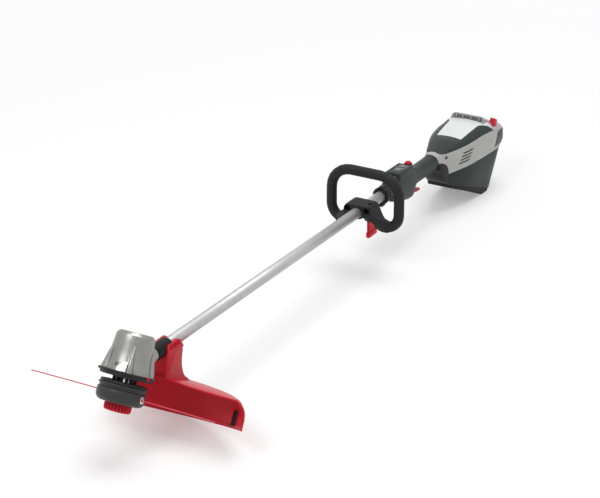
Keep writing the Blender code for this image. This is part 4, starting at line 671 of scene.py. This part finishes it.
def add_shield(name, half, turn):
    """A polished shield let into the cup's wall, bent to it, with the line's hole in the middle."""
    bm = bmesh.new()
    bmesh.ops.create_circle(bm, segments=32, radius=half)
    for vert in bm.verts:
        across, up = squared(math.atan2(vert.co.y, vert.co.x), 0.55)
        vert.co.x = across * half
        vert.co.y = up * half
    rim = bm.edges[:]
    hole = bmesh.ops.create_circle(bm, segments=32, radius=half * 0.46)["verts"]
    inner = list({edge for vert in hole for edge in vert.link_edges})
    bmesh.ops.bridge_loops(bm, edges=rim + inner)
    lifted = bmesh.ops.extrude_face_region(bm, geom=bm.faces[:])["geom"]
    tops = [item for item in lifted if isinstance(item, bmesh.types.BMVert)]
    bmesh.ops.translate(bm, verts=tops, vec=(0.0, 0.0, 2.4))
    for vert in bm.verts:
        radius = CUP_RADIUS - 0.4 + vert.co.z
        angle = vert.co.x / CUP_RADIUS
        vert.co = (radius * math.sin(angle), -radius * math.cos(angle), LINE_HEIGHT + vert.co.y)
    moved(bm, Matrix.Rotation(turn, 4, "Z"))
    piece = finished(name, bm, HEAD, "polished", "cutting_head", 30.0)
    soften(piece, 0.4 * MM)


def add_knob_gaps():
    """A sleeve of painted shade behind the knob's ribs: its dark red shows in the gaps between them."""
    inner, outer = KNOB_GAPS_RADII
    sleeve = turned([(inner, KNOB_GAPS_TOP), (outer, KNOB_GAPS_TOP), (outer, KNOB_GAPS_BOTTOM),
                     (inner, KNOB_GAPS_BOTTOM)])
    finished("knob_gap_shade", sleeve, HEAD, "knob_gap_shade", "bump_feed")


class TRIMMER_OT_motor_head(bpy.types.Operator):
    """Add the dome's screw bosses, screws and skirts with a painted highlight, and the red clip of the base
    plate
    """

    bl_idname = "trimmer.motor_head"
    bl_label = "Motor head"

    def execute(self, context):
        bosses = []
        screws = []
        flares = []
        for index in BOSS_FINS:
            turn = Matrix.Rotation(2.0 * math.pi * index / FIN_COUNT + math.pi, 4, "Z")
            spot = turn @ Matrix.Translation(BOSS_AT) @ Matrix.Rotation(BOSS_TILT, 4, "Y")
            boss = turned([(0.0, 0.6), (2.9, 0.6), (3.1, 2.0), (4.3, 2.2), (5.0, 1.4), (5.6, -5.0),
                           (0.0, -5.0)], 32)
            screw = turned([(0.0, 0.9), (2.7, 0.9), (2.7, 0.2), (0.0, 0.2)], 24)
            bosses.append(moved(boss, spot))
            screws.append(moved(screw, spot))
            flares.append(moved(dome_flare(), turn))
        finished("dome_screw_bosses", joined(bosses), HEAD, "dome", "machine")
        finished("dome_screws", joined(screws), HEAD, "blade", "machine")
        # Painted highlight: the skirts take the paler copy of the dome's cast aluminium
        finished("dome_flares", joined(flares), HEAD, "cast_painted_highlight", "machine")
        clip = moved(block((51.0, -3.2, -5.6), (57.4, 3.2, 0.6), 0.8), Matrix.Rotation(CLIP_TURN, 4, "Z"))
        finished("plate_clip", clip, HEAD, "red", "machine")
        return {"FINISHED"}


def dome_flare():
    """A skirt that flares out of the dome between a boss and the next fin, cut aslant beside the boss."""
    bm = bmesh.new()
    section = [bm.verts.new((radius, 0.0, height)) for radius, height in
               ((42.6, 23.0), (48.4, 12.0), (53.6, 1.8), (53.6, 0.4), (42.6, 0.4))]
    face = bm.faces.new(section)
    moved(bm, Matrix.Rotation(math.radians(7.5), 4, "Z"))
    bmesh.ops.spin(bm, geom=section + face.edges[:] + [face], cent=(0.0, 0.0, 0.0), axis=(0.0, 0.0, 1.0),
                   dvec=(0.0, 0.0, 0.0), angle=math.radians(20.5), steps=10)
    bmesh.ops.recalc_face_normals(bm, faces=bm.faces)
    rim = sliced(bm, (49.0, 6.5, 8.0), (0.0, -1.0, 0.62))
    bmesh.ops.holes_fill(bm, edges=rim)
    return bm


class TRIMMER_OT_loop_handle(bpy.types.Operator):
    """Mould the loop handle in one soft form, with its webs, its front pockets and its screw hole on top"""

    bl_idname = "trimmer.loop_handle"
    bl_label = "Loop handle"

    def execute(self, context):
        solid = bmesh.new()
        solid.from_mesh(NODES["loop_handle"].data)
        bmesh.ops.remove_doubles(solid, verts=solid.verts, dist=0.00001)
        radius = HANDLE_HOLE_RADIUS
        hole = turned([(0.0, 25.0), (radius, 25.0), (radius, 12.0), (0.0, 12.0)], 28)
        cutters = [moved(hole, Matrix.Translation((*HANDLE_HOLE, 0.0)))]
        for side in (-1.0, 1.0):
            middle = side * POCKET_ACROSS
            cutters.append(block((POCKET_ENDS[0], middle - POCKET_HALF_WIDTH, POCKET_HEIGHTS[0]),
                                 (POCKET_ENDS[1], middle + POCKET_HALF_WIDTH, POCKET_HEIGHTS[1]), 1.0))
        hollowed = cut_away(mesh_of("loop_handle_grip", solid), joined(cutters), TUBE)
        whole = moved(joined([handle_web(side) for side in (-1.0, 1.0)]), TUBE)
        whole.from_mesh(hollowed)
        whole.to_mesh(hollowed)
        whole.free()
        piece = fresh_object("loop_handle_grip", hollowed)
        remesh = piece.modifiers.new("moulding", "REMESH")
        remesh.mode = "VOXEL"
        remesh.voxel_size = context.scene.trimmer_sizes.voxel
        remesh.use_smooth_shade = True
        smooth = piece.modifiers.new("soft edges", "SMOOTH")
        smooth.factor = 0.5
        smooth.iterations = 4
        dressed_piece(piece, "rubber", "loop_handle")
        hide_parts("loop_handle")
        return {"FINISHED"}


def handle_web(side):
    """The broad web that sweeps from the saddle's lower edge back to the foot of the loop."""
    bm = bmesh.new()
    for along, across, up in ((921.0, 16.0, -4.0), (921.0, 30.0, -14.0), (921.0, 37.0, -3.0),
                              (921.0, 18.0, -1.0), (946.0, 18.0, -1.0), (946.0, 38.0, -3.0),
                              (946.0, 32.0, -14.0), (949.0, 48.0, -44.0), (949.0, 64.0, -49.0),
                              (949.0, 73.0, -28.0), (966.0, 48.0, -44.0), (966.0, 64.0, -49.0),
                              (966.0, 73.0, -28.0)):
        bm.verts.new((along, side * across, up))
    hull = bmesh.ops.convex_hull(bm, input=bm.verts)
    inside = {*hull["geom_interior"], *hull["geom_unused"]}
    loose = [item for item in inside if isinstance(item, bmesh.types.BMVert)]
    bmesh.ops.delete(bm, geom=loose, context="VERTS")
    bmesh.ops.recalc_face_normals(bm, faces=bm.faces)
    return bm


def cut_away(mesh, tool, place):
    """The mesh with a tool's shape, drawn in one of the frames, cut out of it."""
    bmesh.ops.recalc_face_normals(tool, faces=tool.faces)
    body = fresh_object("work", mesh)
    cutter = fresh_object("tool", mesh_of("tool", moved(tool, place)))
    cut = body.modifiers.new("cut", "BOOLEAN")
    cut.object = cutter
    cut.operation = "DIFFERENCE"
    bpy.context.view_layer.update()
    result = bpy.data.meshes.new_from_object(body.evaluated_get(bpy.context.evaluated_depsgraph_get()))
    for item in (body, cutter):
        bpy.data.objects.remove(item)
    return result


class TRIMMER_OT_switch_handle(bpy.types.Operator):
    """Add the nose ring's flanges, the display's frame and signs, and the two collars"""

    bl_idname = "trimmer.switch_handle"
    bl_label = "Switch handle"

    def execute(self, context):
        add_nose_flanges()
        add_display_signs()
        add_lock_collar()
        add_display_frame()
        add_grip_collar()
        return {"FINISHED"}


def add_nose_flanges():
    """Two flanges, a lug under them and a clip over them, where the tube enters the handle."""
    bore = TUBE_RADIUS + 1.8
    lengthwise = Matrix.Rotation(math.pi / 2.0, 4, "Y")
    shapes = []
    for start, radius in ((2.0, 21.0), (16.0, 20.6)):
        ring = turned([(bore, 0.0), (radius - 0.8, 0.0), (radius, 0.8), (radius, 3.0), (radius - 0.8, 3.8),
                       (bore, 3.8)], 56)
        shapes.append(moved(ring, Matrix.Translation((NOSE_FRONT + start, 0.0, 0.0)) @ lengthwise))
    front = NOSE_FRONT + 2.0
    shapes.append(block((front, -5.0, -27.0), (front + 16.0, 5.0, -16.0), 1.2))
    shapes.append(block((front, -5.5, 15.0), (front + 17.0, 5.5, 23.5), 1.2))
    finished("nose_flanges", joined(shapes), TUBE, "black", "machine")


def add_display_signs():
    """A ring round the power button and a charge bar of plain strokes, printed on the display."""
    inner = POWER_BUTTON_RADIUS + 1.0
    outer = inner + 1.1
    ring = turned([(inner, 0.0), (outer, 0.0), (outer, INK), (inner, INK)], 40)
    shapes = [moved(ring, Matrix.Translation((*POWER_BUTTON, PANEL_FACE)))]
    for index in range(STROKE_COUNT):
        start = STROKE_START + STROKE_STEP * index
        shapes.append(block((start, -STROKE_HALF_LENGTH, PANEL_FACE),
                            (start + STROKE_WIDTH, STROKE_HALF_LENGTH, PANEL_FACE + INK), 0.12, 1))
    finished("display_signs", joined(shapes), TUBE, "icons", "machine")


def add_lock_collar():
    """The raised ring that the lock-off button stands in."""
    bore = LOCK_BUTTON_RADIUS + 0.7
    collar = turned([(bore, 30.0), (bore + 1.7, 30.0), (bore + 1.5, 35.4), (bore + 0.7, 36.2),
                     (bore, 36.0)], 40)
    moved(collar, Matrix.Translation((*LOCK_BUTTON, 0.0)))
    finished("lock_button_collar", collar, TUBE, "black", "machine")


def add_display_frame():
    """The square shoulders of the switch body, as a frame round the sunk display."""
    front, back = WINDOW_ENDS
    bm = block(FRAME_LOW, FRAME_HIGH, 4.5, 4)
    bmesh.ops.recalc_face_normals(bm, faces=bm.faces)
    top = [face for face in bm.faces if face.normal.z > 0.95 and face.calc_area() > 300.0]
    bmesh.ops.inset_region(bm, faces=top, thickness=1.2, depth=0.0)
    for vert in top[0].verts:
        vert.co.x = front if vert.co.x < (front + back) / 2.0 else back
        vert.co.y = math.copysign(WINDOW_HALF_WIDTH, vert.co.y)
    bmesh.ops.inset_region(bm, faces=top, thickness=0.01, depth=-WINDOW_DEPTH)
    finished("display_bezel", bm, TUBE, "body", "machine")


def add_grip_collar():
    """The light collar of the housing that laps over the grip's end, slanting down from the top."""
    half_width, above, below, length = 18.7, 19.4, 30.4, 14.6
    bm = bmesh.new()
    bmesh.ops.create_circle(bm, segments=56, radius=1.0)
    for vert in bm.verts:
        across, up = squared(math.atan2(vert.co.y, vert.co.x), 2.0 / 2.4)
        vert.co = (GRIP_END - 14.0, across * half_width, up * (above if up > 0.0 else below))
    run = bmesh.ops.extrude_edge_only(bm, edges=bm.edges[:])["geom"]
    ends = [item for item in run if isinstance(item, bmesh.types.BMVert)]
    bmesh.ops.translate(bm, verts=ends, vec=(length, 0.0, 0.0))
    bmesh.ops.scale(bm, verts=ends, vec=(1.0, 1.04, 1.04))
    sliced(bm, (GRIP_END - 12.0, 0.0, 19.0), (-27.0, 0.0, -12.5))
    bmesh.ops.recalc_face_normals(bm, faces=bm.faces)
    bmesh.ops.solidify(bm, geom=bm.faces[:], thickness=-1.3)
    piece = finished("grip_collar", bm, TUBE, "band", "machine")
    soften(piece, 0.3 * MM)


class TRIMMER_OT_housing(bpy.types.Operator):
    """Add the housing's side screws, white wings and light rear rim, and the battery's cap"""

    bl_idname = "trimmer.housing"
    bl_label = "Battery housing"

    def execute(self, context):
        for name, side in (("left", 1.0), ("right", -1.0)):
            add_side_screw("side_screw_" + name, side)
        add_rear_rim()
        add_battery_cap(in_mm(context.scene.trimmer_sizes.cap_corner))
        return {"FINISHED"}


def add_side_screw(name, side):
    """A dark screw head in a small raised ring near the front of a side band."""
    along, across, up = SIDE_SCREW
    outward = Matrix.Rotation(-side * math.pi / 2.0, 4, "X") @ Matrix.Rotation(-SIDE_SCREW_TILT, 4, "Y")
    face = Matrix.Translation((along, side * across, up)) @ outward
    ring = turned([(4.0, -2.5), (5.0, -2.5), (5.0, 0.5), (4.5, 0.9), (4.1, 0.7), (4.0, 0.2)], 32)
    head = turned([(0.0, 0.4), (1.6, 0.4), (1.9, 0.8), (4.05, 0.8), (4.05, -2.4), (0.0, -2.4)], 24)
    finished(name + "_ring", moved(ring, face), TUBE, "band", "machine")
    finished(name, moved(head, face), TUBE, "blade", "machine")


def add_rear_rim():
    """The light rim round the back of the battery's bay, and the white wings beside the top panel."""
    for name, side in (("left", 1.0), ("right", -1.0)):
        outside = ((0.0, side * WING_ACROSS, 0.0), (0.0, -side, 0.0))
        slant = ((WING_CORNER[0], side * WING_CORNER[1], 0.0), (-1.0, side * WING_SLANT, 0.0))
        before = ((WING_REAR, 0.0, 0.0), (1.0, 0.0, 0.0))
        behind = ((WING_REAR, 0.0, 0.0), (-1.0, 0.0, 0.0))
        lapped("panel_wing_" + name, [outside, slant, before], "panel")
        lapped("rear_rim_" + name, [outside, behind], "band")


def lapped(name, planes, finish):
    """A thin layer over the part of the top cover's outer skin that lies inside some planes."""
    bm = bmesh.new()
    bm.from_mesh(NODES["top_cover"].data)
    bm.transform(TUBE.inverted())
    bmesh.ops.remove_doubles(bm, verts=bm.verts, dist=0.01)
    for point, normal in planes:
        sliced(bm, point, normal)
    hidden = []
    for face in bm.faces:
        # Outer faces look up in the middle and more and more outward toward the sides
        outward = Vector((0.0, face.calc_center_median().y / COVER_HALF_WIDTH, 1.0))
        if outward.dot(face.normal) < 0.5:
            hidden.append(face)
    bmesh.ops.delete(bm, geom=hidden, context="FACES")
    bmesh.ops.solidify(bm, geom=bm.faces[:], thickness=-WING_THICKNESS)
    finished(name, bm, TUBE, finish, "machine")


def add_battery_cap(corner):
    """The battery's cap: round shoulders, a shallow dish on top and a finger recess in front, its floor
    darkened with painted shade.
    """
    bm = box((0.0, -BATTERY_HALF_WIDTH, CAP_GAP - CAP_HEIGHT), (BATTERY_DEPTH, BATTERY_HALF_WIDTH, 0.0))
    shoulders = [edge for edge in bm.edges
                 if all(vert.co.z > -1.0 for vert in edge.verts)
                 and edge.verts[0].co.y * edge.verts[1].co.y > 0.0]
    rounded(bm, shoulders, corner, 6)
    bmesh.ops.recalc_face_normals(bm, faces=bm.faces)
    top, front = Vector((0.0, 0.0, 1.0)), Vector((-1.0, 0.0, 0.0))
    for outward, (rim, wall, depth) in ((top, DISH), (front, RECESS)):
        faces = [face for face in bm.faces if face.normal.dot(outward) > 0.9 and face.calc_area() > 500.0]
        bmesh.ops.inset_region(bm, faces=faces, thickness=rim, depth=0.0)
        bmesh.ops.inset_region(bm, faces=faces, thickness=wall, depth=-depth)
    piece = finished("battery_cap_shell", bm, BAY, "cap", "battery")
    soften(piece, 0.9 * MM)
    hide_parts("battery_cap")
    bars = [block((0.2, middle - BAR_HALF_WIDTH, -12.0), (3.4, middle + BAR_HALF_WIDTH, -3.6), 0.5)
            for middle in BARS_ACROSS]
    finished("cap_bars", joined(bars), BAY, "cap", "battery")
    # Painted shade: a dark grey floor laid in the finger recess
    floor = block((2.55, -38.0, -14.0), (2.9, 38.0, -4.4), 0.1, 1)
    finished("cap_recess_shade", floor, BAY, "recess", "battery")


class TRIMMER_OT_stage(bpy.types.Operator):
    """Set the floor, the studio light and the photograph's camera"""

    bl_idname = "trimmer.stage"
    bl_label = "Studio"

    def execute(self, context):
        add_camera(context.scene)
        add_floor(context.scene.trimmer_sizes.floor_reach)
        for name, (spot, size, power) in LAMPS.items():
            add_lamp(name, spot, size, power)
        add_world(context.scene)
        context.scene.view_settings.view_transform = "Standard"
        return {"FINISHED"}


def add_camera(scene):
    """The photograph's camera, turned and tilted from the tube frame."""
    turn, tilt = CAMERA_AZIMUTH, CAMERA_ELEVATION
    back = Vector((math.sin(turn) * math.cos(tilt), -math.cos(turn) * math.cos(tilt), math.sin(tilt)))
    right = Vector((math.cos(turn), math.sin(turn), 0.0))
    up = back.cross(right)
    rotation = TUBE.to_3x3().normalized() @ Matrix((right, up, back)).transposed()
    data = bpy.data.cameras.new("camera")
    data.lens = CAMERA_LENS
    data.sensor_width = CAMERA_SENSOR
    data.clip_end = CAMERA_REACH
    scene.camera = fresh_object("camera", data)
    scene.camera.matrix_world = Matrix.Translation(TUBE @ CAMERA_AT) @ rotation.to_4x4()


def add_floor(reach):
    """A wide pale floor that reads as white paper, keeps the soft shadow and turns all white far off."""
    bm = bmesh.new()
    bmesh.ops.create_grid(bm, x_segments=1, y_segments=1, size=reach)
    floor = fresh_object("floor", mesh_of("floor", bm))
    material, tree, output, place = start_material("white studio paper")
    fibre = add_node(tree, "ShaderNodeTexNoise", {"Vector": place, "Scale": per_metre(25.0), "Detail": 2.0})
    gloss = add_node(tree, "ShaderNodeMapRange", {"Value": fibre.outputs["Fac"], "To Min": 0.75,
                                                  "To Max": 0.85})
    paper = finish_material(tree, output, Base_Color=PAPER, Roughness=gloss.outputs["Result"])
    white = add_node(tree, "ShaderNodeEmission", {"Color": WHITE, "Strength": 1.0})
    away = add_node(tree, "ShaderNodeVectorMath", {0: place, 1: MIDDLE}, operation="DISTANCE")
    fade = add_node(tree, "ShaderNodeMapRange", {"Value": away.outputs["Value"], "From Min": NEAR_DISTANCE,
                                                 "From Max": FAR_DISTANCE, "To Min": NEAR_SHARE,
                                                 "To Max": 1.0}, interpolation_type="SMOOTHSTEP")
    share = add_node(tree, "ShaderNodeMath", {0: seen_directly(tree), 1: fade.outputs["Result"]},
                     operation="MULTIPLY")
    mixed = add_node(tree, "ShaderNodeMixShader", {0: share.outputs[0], 1: paper.outputs[0],
                                                   2: white.outputs[0]})
    tree.links.new(mixed.outputs[0], output.inputs["Surface"])
    floor.data.materials.append(material)


def seen_directly(tree):
    """1 where the camera, a reflection or a clear piece sees the surface, and 0 where it lights others."""
    path = add_node(tree, "ShaderNodeLightPath")
    first = add_node(tree, "ShaderNodeMath", {0: path.outputs["Is Camera Ray"],
                                              1: path.outputs["Is Glossy Ray"]}, operation="MAXIMUM")
    both = add_node(tree, "ShaderNodeMath", {0: first.outputs[0], 1: path.outputs["Is Transmission Ray"]},
                    operation="MAXIMUM")
    return both.outputs[0]


def add_lamp(name, spot, size, power):
    """A soft square lamp that looks at the middle of the trimmer."""
    data = bpy.data.lights.new(name, "AREA")
    data.size = size
    data.energy = power
    lamp = fresh_object(name, data)
    lamp.location = Vector(spot) + MIDDLE
    lamp.rotation_euler = (MIDDLE + LAMP_AIM - lamp.location).to_track_quat("-Z", "Y").to_euler()


def add_world(scene):
    """Even pale light from all round; the camera and reflections see white."""
    world = bpy.data.worlds.new("studio")
    world.use_nodes = True
    tree = world.node_tree
    tree.nodes.clear()
    light = add_node(tree, "ShaderNodeBackground", {"Color": WHITE, "Strength": SKY_LIGHT})
    white = add_node(tree, "ShaderNodeBackground", {"Color": WHITE, "Strength": 1.0})
    mixed = add_node(tree, "ShaderNodeMixShader", {0: seen_directly(tree), 1: light.outputs[0],
                                                   2: white.outputs[0]})
    output = add_node(tree, "ShaderNodeOutputWorld")
    tree.links.new(mixed.outputs[0], output.inputs["Surface"])
    scene.world = world


class TRIMMER_PT_panel(bpy.types.Panel):
    """Lists the trimmer's steps in the sidebar"""

    bl_idname = "TRIMMER_PT_panel"
    bl_label = "String trimmer"
    bl_space_type = "VIEW_3D"
    bl_region_type = "UI"
    bl_category = "Trimmer"

    def draw(self, context):
        for step in STEPS:
            self.layout.operator(step.bl_idname)


STEPS = (TRIMMER_OT_stage, TRIMMER_OT_finishes, TRIMMER_OT_lines, TRIMMER_OT_cutting_head,
         TRIMMER_OT_motor_head, TRIMMER_OT_loop_handle, TRIMMER_OT_switch_handle, TRIMMER_OT_housing)
CLASSES = (TrimmerColours, TrimmerSizes, *STEPS, TRIMMER_PT_panel)


def register():
    """Make the trimmer's classes and properties known to Blender."""
    for item in CLASSES:
        bpy.utils.register_class(item)
    bpy.types.Scene.trimmer_colours = bpy.props.PointerProperty(type=TrimmerColours)
    bpy.types.Scene.trimmer_sizes = bpy.props.PointerProperty(type=TrimmerSizes)


def unregister():
    """Take the trimmer's classes and properties away again."""
    del bpy.types.Scene.trimmer_sizes
    del bpy.types.Scene.trimmer_colours
    for item in reversed(CLASSES):
        bpy.utils.unregister_class(item)


def main():
    """Make everything in order."""
    register()
    bpy.ops.trimmer.stage()
    bpy.ops.trimmer.finishes()
    bpy.ops.trimmer.lines()
    bpy.ops.trimmer.cutting_head()
    bpy.ops.trimmer.motor_head()
    bpy.ops.trimmer.loop_handle()
    bpy.ops.trimmer.switch_handle()
    bpy.ops.trimmer.housing()


if __name__ == "__main__":
    main()
